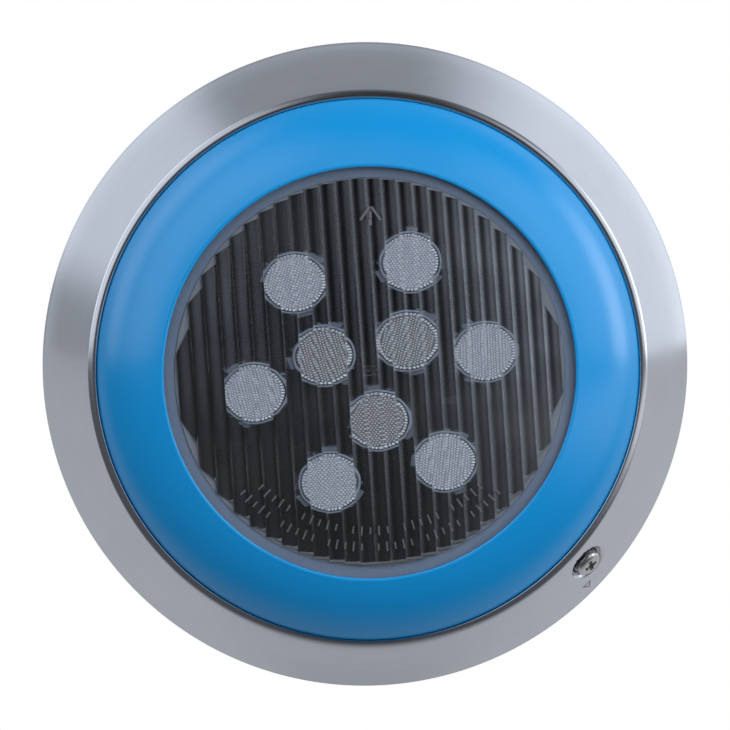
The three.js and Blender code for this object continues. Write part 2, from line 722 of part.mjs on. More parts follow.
// Bent tongue, spot-welded inside the ring opposite the screw. It reaches behind the skirt.
function hookTab() {
  const width = 10;
  const weld = FACE_SHEET + 0.4;
  const [tongueBack, tongueFront] = [18.6, 19.6];
  const outer = [108, 105.6, 103.2].map((radius) => facePoint(radius, weld));
  const inner = [102, 104.4].map((radius) => facePoint(radius, weld + 1));
  const outline = new THREE.Shape([
    [88.5, tongueBack], [108, tongueBack], ...outer, ...inner,
    [106.2, tongueFront], [88.5, tongueFront],
  ].map(([radius, depth]) => new THREE.Vector2(radius, depth)));
  const azimuth = radians(SCREW_AZIMUTH + 180);
  const basis = new THREE.Matrix4().makeBasis(
    new THREE.Vector3(Math.cos(azimuth), 0, Math.sin(azimuth)),
    new THREE.Vector3(0, -1, 0),
    new THREE.Vector3(Math.sin(azimuth), 0, -Math.cos(azimuth)),
  );
  return new THREE.ExtrudeGeometry(outline, { depth: width, bevelEnabled: false })
    .translate(0, 0, -width / 2).applyMatrix4(basis);
}

function weldNut() {
  const top = -DIMPLE_SINK - FACE_SHEET - GAP;
  return build(hexagon(8, top - 4, top), [], [rod(2.75, top - 5, top + 1, 16)]);
}

function screwWasher() {
  const back = -DIMPLE_SINK + GAP;
  return revolve([[2.8, back], [4.5, back], [4.5, back + 0.6], [2.8, back + 0.6]], 24);
}

// Pan-headed machine screw with a cross recess.
function fixingScrew() {
  const seat = -DIMPLE_SINK + 2 * GAP + 0.6;
  const tip = seat - 20;
  const turned = revolve([
    [0, tip], [1.9, tip], [2.45, tip + 0.7], [2.45, seat], [4.75, seat], [4.75, seat + 1.1],
    [4.2, seat + 1.9], [2.7, seat + 2.4], [0, seat + 2.4],
  ], 24);
  const arm = () => new THREE.BoxGeometry(4.6, 2, 1.1).translate(0, seat + 2.2, 0);
  return build(turned, [], [arm().rotateY(radians(20)), arm().rotateY(radians(110))]);
}

function addFaceRing() {
  place('face_ring', faceRing(), STEEL);
  place('hook_tab', hookTab(), STEEL);
  const screw = new THREE.Group();
  screw.applyMatrix4(screwFrame());
  poolLight.add(screw);
  place('weld_nut', weldNut(), SCREW_STEEL, screw);
  place('screw_washer', screwWasher(), SCREW_STEEL, screw);
  place('fixing_screw', fixingScrew(), SCREW_STEEL, screw);
}

// ---------------------------------------------------------------- assembly

place('wall_bracket', wallBracket(), STEEL);
place('hang_stud_upper', hangStud(STUD_HEIGHT), SCREW_STEEL);
place('hang_stud_lower', hangStud(-STUD_HEIGHT), SCREW_STEEL);
place('rear_housing', rearHousing(), WHITE_PLASTIC);
place('engine_carrier', engineCarrier(), WHITE_PLASTIC);
place('clamp_ring', clampRing(), WHITE_PLASTIC);
place('skirt_hoop', skirtHoop(), WHITE_PLASTIC);
place('trim_ring', trimRing(), BLUE_PLASTIC);
COVER_SCREW_ANGLES.forEach((angle, i) => {
  place(`cover_screw_${i + 1}`, coverScrew(angle), SCREW_STEEL);
});
place('lens_gasket', lensGasket(), GREY_RUBBER);
place('front_lens', frontLens(), CLEAR_PLASTIC);
place('heat_sink', heatSink(), ALUMINIUM);
place('led_board', ledBoard(), BLACK_BOARD);
BOARD_SCREW_ANGLES.forEach((angle, i) => {
  place(`board_screw_${i + 1}`, boardScrew(angle), SCREW_STEEL);
});
addLedModules();
place('driver_board', driverBoard(), GREEN_BOARD);
place('smoothing_capacitor', smoothingCapacitor(), CAPACITOR_SLEEVE);
place('terminal_block', terminalBlock(), GREEN_PLASTIC);
place('led_lead', ledLead(), LEAD_JACKET);
addGland();
addFaceRing();

export default poolLight;
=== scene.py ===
# Looks of the wall-hung pool light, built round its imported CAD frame.
# Metres, +Z up. The lamp's axis runs along Y and its face looks towards -Y. Profiles are given in
# millimetres as [radius, depth], where depth is measured from the wall (y = -depth).
import json
from math import pi, sin, cos, atan2, hypot, sqrt, radians

import bmesh
import bpy
from mathutils import Matrix, Vector

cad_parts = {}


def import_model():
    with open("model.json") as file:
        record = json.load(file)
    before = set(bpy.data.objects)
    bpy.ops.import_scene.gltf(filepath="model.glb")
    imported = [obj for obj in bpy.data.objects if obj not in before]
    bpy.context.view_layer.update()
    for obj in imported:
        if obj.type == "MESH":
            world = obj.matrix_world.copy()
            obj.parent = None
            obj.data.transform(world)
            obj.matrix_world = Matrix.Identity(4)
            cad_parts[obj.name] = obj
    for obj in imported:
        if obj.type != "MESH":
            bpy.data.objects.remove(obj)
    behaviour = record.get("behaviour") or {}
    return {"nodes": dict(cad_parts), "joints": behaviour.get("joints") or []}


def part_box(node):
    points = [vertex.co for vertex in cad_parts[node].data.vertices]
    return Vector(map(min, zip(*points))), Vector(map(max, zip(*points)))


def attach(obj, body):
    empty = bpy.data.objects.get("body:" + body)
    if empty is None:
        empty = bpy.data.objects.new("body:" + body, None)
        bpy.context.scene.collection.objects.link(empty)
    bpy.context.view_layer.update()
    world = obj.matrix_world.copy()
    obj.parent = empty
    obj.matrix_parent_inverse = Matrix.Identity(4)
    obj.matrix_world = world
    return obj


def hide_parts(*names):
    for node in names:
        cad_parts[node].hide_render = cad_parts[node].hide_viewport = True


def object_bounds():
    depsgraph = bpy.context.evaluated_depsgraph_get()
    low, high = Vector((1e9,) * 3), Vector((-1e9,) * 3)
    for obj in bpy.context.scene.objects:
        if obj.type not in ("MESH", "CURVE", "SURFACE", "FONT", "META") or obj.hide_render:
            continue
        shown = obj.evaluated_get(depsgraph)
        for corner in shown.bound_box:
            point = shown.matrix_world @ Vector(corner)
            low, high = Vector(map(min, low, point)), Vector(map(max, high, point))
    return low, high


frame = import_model()
cad_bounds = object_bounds()
NODES = frame["nodes"]
JOINTS = {joint["name"]: joint for joint in frame["joints"]}
STUDS = ("hang_stud_upper", "hang_stud_lower")
MM = 0.001
MERGE = 2e-6  # metres within which points are one

# Millimetres from here on.
NEAR_AXIS = 0.02  # inner radius of a solid rod, whose ends are closed by nearly touching points
SHEET = 1.0  # the face ring's thickness
CONE = ((114.3, 11.5), (98, 34.2), 12.5)  # its outer arc: start, end and turn in degrees
STEP_RADIUS = 67.3  # of the lens's flat step round the flutes
DOME_RADIUS = 70.8  # of the lens's dome
NUT_FLATS = 14  # across the gland's hexagons
CORNER_FROM = 7.25  # reach of a hexagon from which it counts as its corner
BOX_FACES = [(0, 1, 2, 3), (4, 5, 6, 7), (0, 1, 5, 4), (1, 2, 6, 5), (2, 3, 7, 6), (3, 0, 4, 7)]

SCREW_AXIS = Vector(JOINTS["screw_turn"]["axis"])
SCREW_POINT = Vector(JOINTS["screw_turn"]["pos_m"])
SCREW_AZIMUTH = atan2(SCREW_POINT.z, SCREW_POINT.x)
SCREW_TANGENT = Vector((-sin(SCREW_AZIMUTH), 0, cos(SCREW_AZIMUTH)))
SCREW_UPHILL = SCREW_TANGENT.cross(SCREW_AXIS)
if SCREW_UPHILL.y > 0:
    SCREW_UPHILL.negate()
# Local Z leaves the face along the screw, local X runs round the ring.
SCREW_FRAME = Matrix((SCREW_TANGENT, SCREW_AXIS.cross(SCREW_TANGENT), SCREW_AXIS))
SCREW_FRAME = SCREW_FRAME.transposed().to_4x4()
SCREW_FRAME.translation = SCREW_POINT


# ------------------------------------------------------------------ meshes

def middle(node):
    low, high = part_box(node)
    return (low + high) / 2


def depths(node):
    """Rear and front depth of a CAD node, in millimetres."""
    low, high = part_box(node)
    return -high.y / MM, -low.y / MM


def linked(name, data):
    """A new object in the scene."""
    obj = bpy.data.objects.new(name, data)
    bpy.context.scene.collection.objects.link(obj)
    return obj


def mesh_from(name, verts, faces, sharp=35):
    """A closed or open mesh from points in millimetres given as (x, depth, z)."""
    mesh = bpy.data.meshes.new(name)
    mesh.from_pydata([(x * MM, -d * MM, z * MM) for x, d, z in verts], [], faces)
    tidy(mesh, sharp)
    return mesh


def tidy(mesh, sharp):
    """Joins doubled points, turns the faces outward and shades the mesh."""
    work = bmesh.new()
    work.from_mesh(mesh)
    bmesh.ops.remove_doubles(work, verts=work.verts, dist=MERGE)
    bmesh.ops.dissolve_degenerate(work, edges=work.edges, dist=MERGE)
    bmesh.ops.recalc_face_normals(work, faces=work.faces)
    work.to_mesh(mesh)
    work.free()
    shaded(mesh, sharp)


def shaded(mesh, sharp):
    """The mesh, smooth apart from edges that turn by more than an angle in degrees."""
    mesh.shade_smooth()
    mesh.set_sharp_from_angle(angle=radians(sharp))
    return mesh


def bands(rows, count, closed=True):
    """Faces between rings of points, and from the last ring to the first if closed."""
    faces = []
    for i in range(rows if closed else rows - 1):
        j = (i + 1) % rows
        for k in range(count):
            m = (k + 1) % count
            faces.append((i * count + k, i * count + m, j * count + m, j * count + k))
    return faces


def caps(rows, count):
    """Faces that close the first and the last ring of points."""
    return [tuple(first + k for k in range(count)) for first in (0, (rows - 1) * count)]


def circle(radius, depth, count):
    turns = [2 * pi * k / count for k in range(count)]
    return [(radius * cos(a), depth, radius * sin(a)) for a in turns]


def turned(profile, segments=192, angles=None, at=(0, 0)):
    """Points and faces of a profile turned about the lamp's axis, or a parallel one."""
    turns = angles or [2 * pi * i / segments for i in range(segments)]
    verts = [(at[0] + r * cos(a), d, at[1] + r * sin(a)) for r, d in profile for a in turns]
    return verts, bands(len(profile), len(turns))


def tube(inner, outer, back, front, segments, rounding=0.0, at=(0, 0)):
    """A ring with a rectangular section. With NEAR_AXIS as its inner radius it is a rod."""
    profile = [(inner, back), (outer, back), (outer, front), (inner, front)]
    return turned(fillet(profile, rounding) if rounding else profile, segments, at=at)


def fillet(points, size=0.3, steps=3):
    """A closed profile with its corners rounded, apart from those on the axis."""
    out = []
    total = len(points)
    for i, (r, d) in enumerate(points):
        before, after = points[i - 1], points[(i + 1) % total]
        u = (before[0] - r, before[1] - d)
        v = (after[0] - r, after[1] - d)
        lu, lv = hypot(*u), hypot(*v)
        if r < 1e-6 or min(lu, lv) < 1e-6 or (u[0] * v[0] + u[1] * v[1]) / (lu * lv) < -0.97:
            out.append((r, d))
            continue
        reach = min(size, 0.45 * lu, 0.45 * lv)
        a = (r + u[0] / lu * reach, d + u[1] / lu * reach)
        b = (r + v[0] / lv * reach, d + v[1] / lv * reach)
        for k in range(steps + 1):
            t = k / steps
            w = ((1 - t) ** 2, 2 * t * (1 - t), t * t)
            out.append((w[0] * a[0] + w[1] * r + w[2] * b[0], w[0] * a[1] + w[1] * d + w[2] * b[1]))
    return out


def joined(*parts):
    """Several (points, faces) pairs as one."""
    verts, faces = [], []
    for more_verts, more_faces in parts:
        start = len(verts)
        verts += more_verts
        faces += [tuple(start + i for i in face) for face in more_faces]
    return verts, faces


def prism(outline, back, front, chamfer=0.0):
    """A flat outline of (x, z) points given thickness, with its front edge chamfered."""
    cx = sum(p[0] for p in outline) / len(outline)
    cz = sum(p[1] for p in outline) / len(outline)
    size = max(hypot(x - cx, z - cz) for x, z in outline)
    rings = [(1, back), (1, front - chamfer)]
    if chamfer:
        rings.append((1 - chamfer / size, front))
    n = len(outline)
    verts = [(cx + (x - cx) * scale, d, cz + (z - cz) * scale) for scale, d in rings for x, z in outline]
    return verts, bands(len(rings), n, closed=False) + caps(len(rings), n)


def slab(width, height, turn=0.0, at=(0, 0), corner=0.0, steps=3):
    """Outline of a rectangle, turned and moved, with rounded corners."""
    points = []
    for sx, sz, start in ((1, 1, 0), (-1, 1, 90), (-1, -1, 180), (1, -1, 270)):
        cx, cz = sx * (width / 2 - corner), sz * (height / 2 - corner)
        for k in range(steps + 1 if corner else 1):
            a = radians(start + 90 * k / steps) if corner else 0
            points.append((cx + corner * cos(a), cz + corner * sin(a)))
    c, s = cos(turn), sin(turn)
    return [(at[0] + x * c - z * s, at[1] + x * s + z * c) for x, z in points]


def piece(name, mesh, body, material, nodes=(), matrix=None):
    obj = linked(name, mesh)
    if not mesh.materials:
        for finish in material if isinstance(material, tuple) else (material,):
            mesh.materials.append(finish)
    if matrix is not None:
        obj.matrix_world = matrix
    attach(obj, body)
    if nodes:
        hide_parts(*nodes)
    return obj


def applied(mesh, *modifiers):
    """The mesh after modifiers, each given as (type, settings)."""
    obj = linked("work", mesh)
    for kind, settings in modifiers:
        modifier = obj.modifiers.new(kind, kind)
        for key, value in settings.items():
            setattr(modifier, key, value)
    graph = bpy.context.evaluated_depsgraph_get()
    result = bpy.data.meshes.new_from_object(obj.evaluated_get(graph))
    bpy.data.objects.remove(obj)
    return result


def carved(mesh, *cutters, sharp=30):
    """The mesh with each cutter mesh taken away from it."""
    for cutter in cutters:
        tool = linked("cutter", cutter)
        mesh = applied(mesh, ("BOOLEAN", {"operation": "DIFFERENCE", "solver": "EXACT", "object": tool}))
        bpy.data.objects.remove(tool)
    return shaded(mesh, sharp)


def bevelled_copy(node, width):
    """A CAD node's shape with flat faces joined up and its edges rounded."""
    mesh = NODES[node].data.copy()
    mesh.materials.clear()
    work = bmesh.new()
    work.from_mesh(mesh)
    bmesh.ops.remove_doubles(work, verts=work.verts, dist=MERGE)
    bmesh.ops.dissolve_limit(work, angle_limit=radians(1), verts=work.verts, edges=work.edges)
    work.to_mesh(mesh)
    work.free()
    mesh = applied(mesh, ("BEVEL", {
        "width": width * MM, "segments": 2, "limit_method": "ANGLE", "angle_limit": radians(25),
        "use_clamp_overlap": True, "harden_normals": False,
    }))
    return applied(shaded(mesh, 40), ("WEIGHTED_NORMAL", {"keep_sharp": True, "weight": 100}))


# ------------------------------------------------------------------ materials

def link(tree, kind, inputs=None, **settings):
    """A new node. An input is a number, a colour, a socket or a Value."""
    node = tree.nodes.new(kind)
    for key, value in settings.items():
        setattr(node, key, value)
    for key, value in (inputs or {}).items():
        value = getattr(value, "socket", value)
        if isinstance(value, bpy.types.NodeSocket):
            tree.links.new(value, node.inputs[key])
        else:
            node.inputs[key].default_value = value
    return node


class Value:
    """A socket that can be added and multiplied, so that a mask reads as a formula."""

    def __init__(self, socket):
        self.socket = socket
        self.tree = socket.id_data

    def maths(self, operation, other=0.0):
        node = link(self.tree, "ShaderNodeMath", {0: self, 1: other}, operation=operation)
        return Value(node.outputs[0])

    def __add__(self, other):
        return self.maths("ADD", other)

    def __sub__(self, other):
        return self.maths("SUBTRACT", other)

    def __mul__(self, other):
        return self.maths("MULTIPLY", other)

    def __truediv__(self, other):
        return self.maths("DIVIDE", other)

    def larger(self, other):
        return self.maths("MAXIMUM", other)

    def ramp(self, low, high, start=0.0, end=1.0, easing="LINEAR"):
        """Low at start and high at end."""
        inputs = {"Value": self, "From Min": start, "From Max": end, "To Min": low, "To Max": high}
        node = link(self.tree, "ShaderNodeMapRange", inputs, interpolation_type=easing)
        return Value(node.outputs["Result"])

    def soft(self, low, high, start, end):
        return self.ramp(low, high, start, end, "SMOOTHSTEP")


def distance(a, b):
    return (a * a + b * b).maths("SQRT")


def split(place):
    """The x, y and z of a place."""
    return [Value(s) for s in link(place.tree, "ShaderNodeSeparateXYZ", {"Vector": place}).outputs]


def feed(shader, **values):
    """Joins values to a shader's inputs, whose names have underscores for spaces here."""
    for key, value in values.items():
        shader.id_data.links.new(value.socket, shader.inputs[key.replace("_", " ")])


def mixed_shader(tree, factor, first, second):
    return link(tree, "ShaderNodeMixShader", {0: factor, 1: first, 2: second}).outputs[0]


def show(tree, output):
    tree.links.new(output, tree.nodes["Material Output"].inputs["Surface"])


def start_material(name, **numbers):
    material = bpy.data.materials.new(name)
    material.use_nodes = True
    tree = material.node_tree
    shader = tree.nodes["Principled BSDF"]
    for key, value in numbers.items():
        socket = shader.inputs[key.replace("_", " ")]
        socket.default_value = (*value, 1) if isinstance(value, tuple) and len(value) == 3 else value
    return material, tree, shader


def here(tree):
    return Value(link(tree, "ShaderNodeTexCoord").outputs["Object"])


def noise(place, scale, detail=3.0, rough=0.6, stretch=None):
    if stretch:
        inputs = {0: place, 1: stretch}
        place = link(place.tree, "ShaderNodeVectorMath", inputs, operation="MULTIPLY").outputs[0]
    inputs = {"Vector": place, "Scale": scale, "Detail": detail, "Roughness": rough}
    tree = getattr(place, "tree", None) or place.id_data
    return Value(link(tree, "ShaderNodeTexNoise", inputs).outputs["Fac"])


def shades(value, first, second):
    """A colour between two, each of which is a tuple or a Value."""
    ends = [end if isinstance(end, Value) else (*end, 1) for end in (first, second)]
    node = link(value.tree, "ShaderNodeMix", {0: value, 6: ends[0], 7: ends[1]}, data_type="RGBA")
    return Value(node.outputs[2])


def bump(shader, height, distance, strength):
    inputs = {"Height": height, "Distance": distance, "Strength": strength}
    feed(shader, Normal=Value(link(height.tree, "ShaderNodeBump", inputs).outputs["Normal"]))


def polar(tree, along, across):
    """Coordinates that are long round the lamp's axis and short across it, with no seam."""
    x, y, z = split(here(tree))
    radius = distance(x, z).larger(1e-4)
    inputs = {"X": x / radius * along, "Y": (radius - y) * across, "Z": z / radius * along}
    return Value(link(tree, "ShaderNodeCombineXYZ", inputs).outputs[0])


def face_steel():
    material, tree, shader = start_material("satin_steel_face", Metallic=1.0)
    streaks = noise(polar(tree, 5.0, 1500.0), 1.0, 4.0)
    broad = noise(polar(tree, 2.0, 160.0), 1.0, 2.0, 0.5)
    cloudy = noise(here(tree), 60.0, 4.0)
    unshaded_tone = shades(streaks * 0.45 + cloudy * 0.55, (0.60, 0.635, 0.71), (0.70, 0.735, 0.815))
    grain = streaks * 0.5 + broad * 0.5
    # The screw's recess is painted near black here as shade.
    feed(shader, Base_Color=shades(painted_recess_shade(tree), unshaded_tone, (0.012, 0.012, 0.014)),
         Roughness=grain.ramp(0.13, 0.22, 0.3, 0.7))
    bump(shader, grain, 0.00001, 0.35)
    return material


def painted_recess_shade(tree):
    """Where painted shade darkens the screw's recess: a crescent of painted shade on the head's inner side,
    and mottled painted shade in the deepest part. Distances are in millimetres."""
    inputs = {0: here(tree), 1: tuple(SCREW_POINT)}
    away = link(tree, "ShaderNodeVectorMath", inputs, operation="SUBTRACT").outputs[0]

    def along(axis):
        inputs = {0: away, 1: tuple(axis / MM)}
        node = link(tree, "ShaderNodeVectorMath", inputs, operation="DOT_PRODUCT")
        return Value(node.outputs["Value"])

    up, side, height = along(SCREW_UPHILL), along(SCREW_TANGENT), along(SCREW_AXIS)

    def reach(centre):
        return distance(up - centre, side)

    crescent = reach(0.9).ramp(1.0, 0.0, 5.6, 6.2) * reach(-0.2).ramp(0.0, 1.0, 4.7, 5.0)
    crescent = crescent * height.ramp(1.0, 0.0, -0.5, 0.2)
    pit = reach(0.4).ramp(1.0, 0.0, 6.2, 7.2) * height.ramp(1.0, 0.0, -0.8, -0.2)
    mottled = noise(here(tree), 900.0).ramp(0.25, 0.8, 0.35, 0.6)
    return crescent.larger(pit * mottled)


def brushed(name, color, rough, grain=(1, 1, 1), scale=900.0):
    """Plain steel or aluminium with a grain stretched one way."""
    material, tree, shader = start_material(name, Metallic=1.0)
    lines = noise(here(tree), scale, stretch=grain)
    tone = lines * 0.5 + noise(here(tree), 90.0) * 0.5
    feed(shader, Base_Color=shades(tone, tuple(c * 0.84 for c in color), color),
         Roughness=tone.ramp(rough - 0.06, rough + 0.08, 0.3, 0.7))
    bump(shader, lines, 0.00001, 0.5)
    return material


def plastic(name, color, rough, grain, depth, vary=0.06, spread=0.05, **numbers):
    """Moulded plastic or rubber: a fine texture, slight clouding and a worn sheen."""
    material, tree, shader = start_material(name, **numbers)
    fine = noise(here(tree), grain, rough=0.55)
    cloudy = noise(here(tree), 45.0)
    darker = tuple(max(c * (1 - vary) - 0.002, 0) for c in color)
    lighter = tuple(min(c * (1 + vary) + 0.002, 1) for c in color)
    worn = fine * 0.5 + cloudy * 0.5
    feed(shader, Base_Color=shades(cloudy, darker, lighter),
         Roughness=worn.ramp(rough - spread, rough + spread, 0.3, 0.7))
    bump(shader, fine, depth, 0.6)
    return material


FLUTE = {"zone": 67.2, "pitch": 5.3, "count": 12, "rise": 0.34, "power": 2.6, "lean": 4.0, "slant": 0.55}


def painted_flute_reflection(tree):
    """Where the back of the lens gets a painted reflection: a line along each groove on the right, which
    fades across the strip, and a broad soft band on each strip on the left."""
    x, _, z = split(here(tree))
    c, s = cos(radians(FLUTE["lean"])), sin(radians(FLUTE["lean"]))
    side, high = x * c + z * s, z * c - x * s
    across = (side / (FLUTE["pitch"] * MM) + 0.5).maths("FRACT")
    rise = across.soft(0.0, 0.6, 0.42, 0.76) * high.ramp(0.45, 1.0, -0.015, 0.04)
    rise = rise * across.ramp(1.0, 0.5, 0.76, 0.9)
    line = across.soft(1.0, 0.0, 0.0, 0.36).larger(rise).larger(across.ramp(0.0, 1.0, 0.93, 1.0))
    gain = side.ramp(0.0, 0.28, -0.036, 0.0) + side.ramp(0.0, 0.34, 0.015, 0.055)
    right = line * gain * high.ramp(0.35, 1.0, -0.05, 0.0) + side.ramp(0.0, 0.07, 0.012, 0.05)
    band = across.soft(0.0, 1.0, 0.02, 0.55) * across.soft(1.0, 0.0, 0.66, 1.0)
    left = band * (side.ramp(1.0, 0.0, -0.048, -0.014) * high.ramp(0.06, 0.22, -0.02, 0.035))
    return (left + right) * noise(here(tree), 60.0).ramp(0.75, 1.2, 0.3, 0.7)


def lens_plastic(name, painted_reflection=None):
    """Clear polycarbonate, with a painted reflection mixed in where a mask is given. Light from the lamps
    passes straight through it.
    """
    material, tree, shader = start_material(
        name, Base_Color=(0.93, 0.955, 0.985), Transmission_Weight=1.0, IOR=1.585)
    feed(shader, Roughness=noise(here(tree), 220.0).ramp(0.015, 0.05, 0.3, 0.7))
    bump(shader, noise(here(tree), 120.0, 2.0, 0.5), 0.000005, 0.3)
    path = link(tree, "ShaderNodeLightPath").outputs
    either = Value(path["Is Shadow Ray"]).larger(path["Is Diffuse Ray"])
    clear = link(tree, "ShaderNodeBsdfTransparent", {"Color": (0.9, 0.93, 0.96, 1)})
    seen = shader.outputs[0]
    if painted_reflection:
        # A grey diffuse layer laid on by the mask: a painted reflection on the back of the lens.
        reflection_paint = link(tree, "ShaderNodeBsdfDiffuse", {"Color": (0.30, 0.32, 0.37, 1)})
        seen = mixed_shader(tree, painted_reflection(tree), seen, reflection_paint.outputs[0])
    show(tree, mixed_shader(tree, either, seen, clear.outputs[0]))
    return material


def clear_moulding(name, color, rough, through, scale=400.0, darkest=0.8):
    """Acrylic that is partly clear and partly cloudy, as a beaded optic looks from in front."""
    material, tree, shader = start_material(name, Transmission_Weight=through, IOR=1.49)
    cloudy = noise(here(tree), scale)
    feed(shader, Base_Color=shades(cloudy, tuple(c * darkest for c in color), color),
         Roughness=cloudy.ramp(rough, rough + 0.1, 0.3, 0.7))
    bump(shader, cloudy, 0.00002, 0.3)
    return material


def board_black():
    """Black solder mask with copper pours that show through it faintly and a printed centre mark."""
    material, tree, shader = start_material("black_solder_mask", Specular_IOR_Level=0.2)
    x, _, z = split(here(tree))
    ring_radius, ring_half_width = 0.0016, 0.0002
    ring = (distance(x, z) - ring_radius).maths("ABSOLUTE").maths("LESS_THAN", ring_half_width)
    pours = noise(here(tree), 70.0, 0.0, 0.5).maths("GREATER_THAN", 0.52)
    dark = shades(pours, (0.004, 0.004, 0.005), (0.007, 0.0065, 0.007))
    feed(shader, Base_Color=shades(ring, dark, (0.10, 0.09, 0.085)),
         Roughness=noise(here(tree), 900.0, 2.0, 0.5).ramp(0.38, 0.5, 0.3, 0.7))
    bump(shader, pours, 0.00003, 0.5)
    return material


STEEL_FACE = face_steel()
STEEL_BRACKET = brushed("mill_steel_bracket", (0.60, 0.61, 0.63), 0.34, (1, 1, 0.04))
STEEL_STUD = brushed("turned_steel_stud", (0.63, 0.64, 0.66), 0.26, (0.3, 3, 0.3))
STEEL_SCREW = brushed("bright_steel_screw", (0.66, 0.67, 0.69), 0.2, (1, 1, 1), 1200.0)
BLACK_OXIDE = brushed("black_oxide_screw", (0.03, 0.03, 0.033), 0.4, (1, 1, 1), 1200.0)
STEEL_TAB = brushed("mill_steel_tab", (0.58, 0.59, 0.61), 0.36, (1, 0.06, 1))
STEEL_NUT = brushed("steel_nut", (0.60, 0.60, 0.62), 0.3, (1, 1, 1), 700.0)
STEEL_WASHER = brushed("steel_washer", (0.62, 0.63, 0.65), 0.28, (1, 1, 1), 800.0)
ALUMINIUM = brushed("mill_aluminium", (0.70, 0.71, 0.72), 0.4, (1, 1, 0.05))
HOUSING = plastic("white_housing", (0.70, 0.71, 0.70), 0.5, 1600.0, 0.00003)
BLUE = plastic("blue_trim", (0.0, 0.275, 0.67), 0.2, 500.0, 0.000004, 0.015, 0.02, Specular_IOR_Level=0.9)
LENS = lens_plastic("clear_polycarbonate")
# The fluted back of the lens carries a painted reflection.
FLUTED = lens_plastic("fluted_polycarbonate", painted_flute_reflection)
FROST = clear_moulding("etched_polycarbonate", (0.29, 0.32, 0.375), 0.35, 0.3)
MARK = clear_moulding("raised_mark", (0.21, 0.22, 0.24), 0.25, 0.4)
# Lit and shaded copies of one acrylic: bead crowns and rim crests carry a painted highlight, bead and rim
# valleys painted shade.
LIT_BEAD = clear_moulding("bead_top_painted_highlight", (0.78, 0.80, 0.86), 0.12, 0.05, 1100.0, 0.5)
SHADED_BEAD = clear_moulding("bead_hollow_painted_shade", (0.42, 0.44, 0.50), 0.12, 0.05, 1100.0, 0.45)
LIT_BEAD_WARM = clear_moulding("warm_bead_top_painted_highlight", (0.66, 0.66, 0.70), 0.12, 0.05, 1100.0, 0.45)
SHADED_BEAD_WARM = clear_moulding("warm_bead_hollow_painted_shade", (0.21, 0.20, 0.21), 0.12, 0.05, 1100.0, 0.4)
RIM_HIGHLIGHT = clear_moulding("rim_tooth_painted_highlight", (0.97, 0.98, 1.0), 0.08, 0.05, 1100.0, 0.5)
RIM_SHADE = clear_moulding("rim_notch_painted_shade", (0.34, 0.37, 0.44), 0.08, 0.1, 1100.0, 0.5)
HOLDER = clear_moulding("clear_holder", (0.19, 0.215, 0.265), 0.12, 0.3)
HOLDER_EDGE = clear_moulding("clear_holder_edge", (0.36, 0.40, 0.48), 0.1, 0.2, 600.0, 0.5)
PHOSPHOR = plastic("led_phosphor_gel", (0.72, 0.60, 0.20), 0.3, 900.0, 0.00001)
GASKET = plastic("grey_silicone", (0.175, 0.225, 0.31), 0.5, 700.0, 0.00002)
BOARD = board_black()
GREEN_MASK = plastic("green_solder_mask", (0.03, 0.14, 0.06), 0.42, 900.0, 0.00001)
SLEEVE = plastic("capacitor_sleeve_film", (0.03, 0.05, 0.13), 0.3, 300.0, 0.00001)
TERMINAL = plastic("green_nylon", (0.05, 0.26, 0.10), 0.45, 900.0, 0.00002)
JACKET = plastic("black_silicone_jacket", (0.02, 0.02, 0.022), 0.5, 700.0, 0.00002)
NYLON = plastic("black_nylon", (0.022, 0.023, 0.026), 0.42, 1400.0, 0.00003)
RUBBER = plastic("black_rubber", (0.014, 0.014, 0.016), 0.6, 900.0, 0.00003)
ACETAL = plastic("white_acetal", (0.62, 0.62, 0.59), 0.35, 900.0, 0.00001)


# ------------------------------------------------------------------ face ring and its screw

def arc_through(start, end, turn):
    """Centre and radius of the arc between two points that bulges away from the wall."""
    dr, dd = end[0] - start[0], end[1] - start[1]
    chord, half = hypot(dr, dd), radians(turn) / 2
    radius = chord / 2 / sin(half)
    sag = radius * cos(half)
    return ((start[0] + end[0]) / 2 - dd / chord * sag, (start[1] + end[1]) / 2 + dr / chord * sag), radius


def along_arc(start, end, turn, steps):
    centre, radius = arc_through(start, end, turn)
    first = atan2(start[1] - centre[1], start[0] - centre[0])
    return [(centre[0] + radius * cos(first + radians(turn) * i / steps),
             centre[1] + radius * sin(first + radians(turn) * i / steps)) for i in range(steps + 1)]


def offset_profile(points, distance):
    """The profile moved to its inner side."""
    out = []
    for i, (r, d) in enumerate(points):
        a, b = points[max(i - 1, 0)], points[min(i + 1, len(points) - 1)]
        tr, td = b[0] - a[0], b[1] - a[1]
        size = hypot(tr, td)
        out.append((r - td / size * distance, d + tr / size * distance))
    return out


def smooth(value):
    value = min(max(value, 0.0), 1.0)
    return value * value * (3 - 2 * value)


def pressed(point, thickness):
    """A point of the ring's sheet after the dimple round the screw is pressed in."""
    away = point - SCREW_POINT
    height = away.dot(SCREW_AXIS)
    flat = away - SCREW_AXIS * height
    reach = flat.length / MM
    if reach > 9.5 or abs(height) > 0.012:
        return point
    uphill = 0.5 + 0.5 * (flat.dot(SCREW_UPHILL) / MM / max(reach, 0.01))
    inner, outer = 4.9 + 1.5 * uphill, 8.3 - 1.2 * uphill
    share = 1 - smooth((reach - inner) / (outer - inner))
    floor = (-1.85 - thickness) * MM
    return point + SCREW_AXIS * ((floor - height) * share)


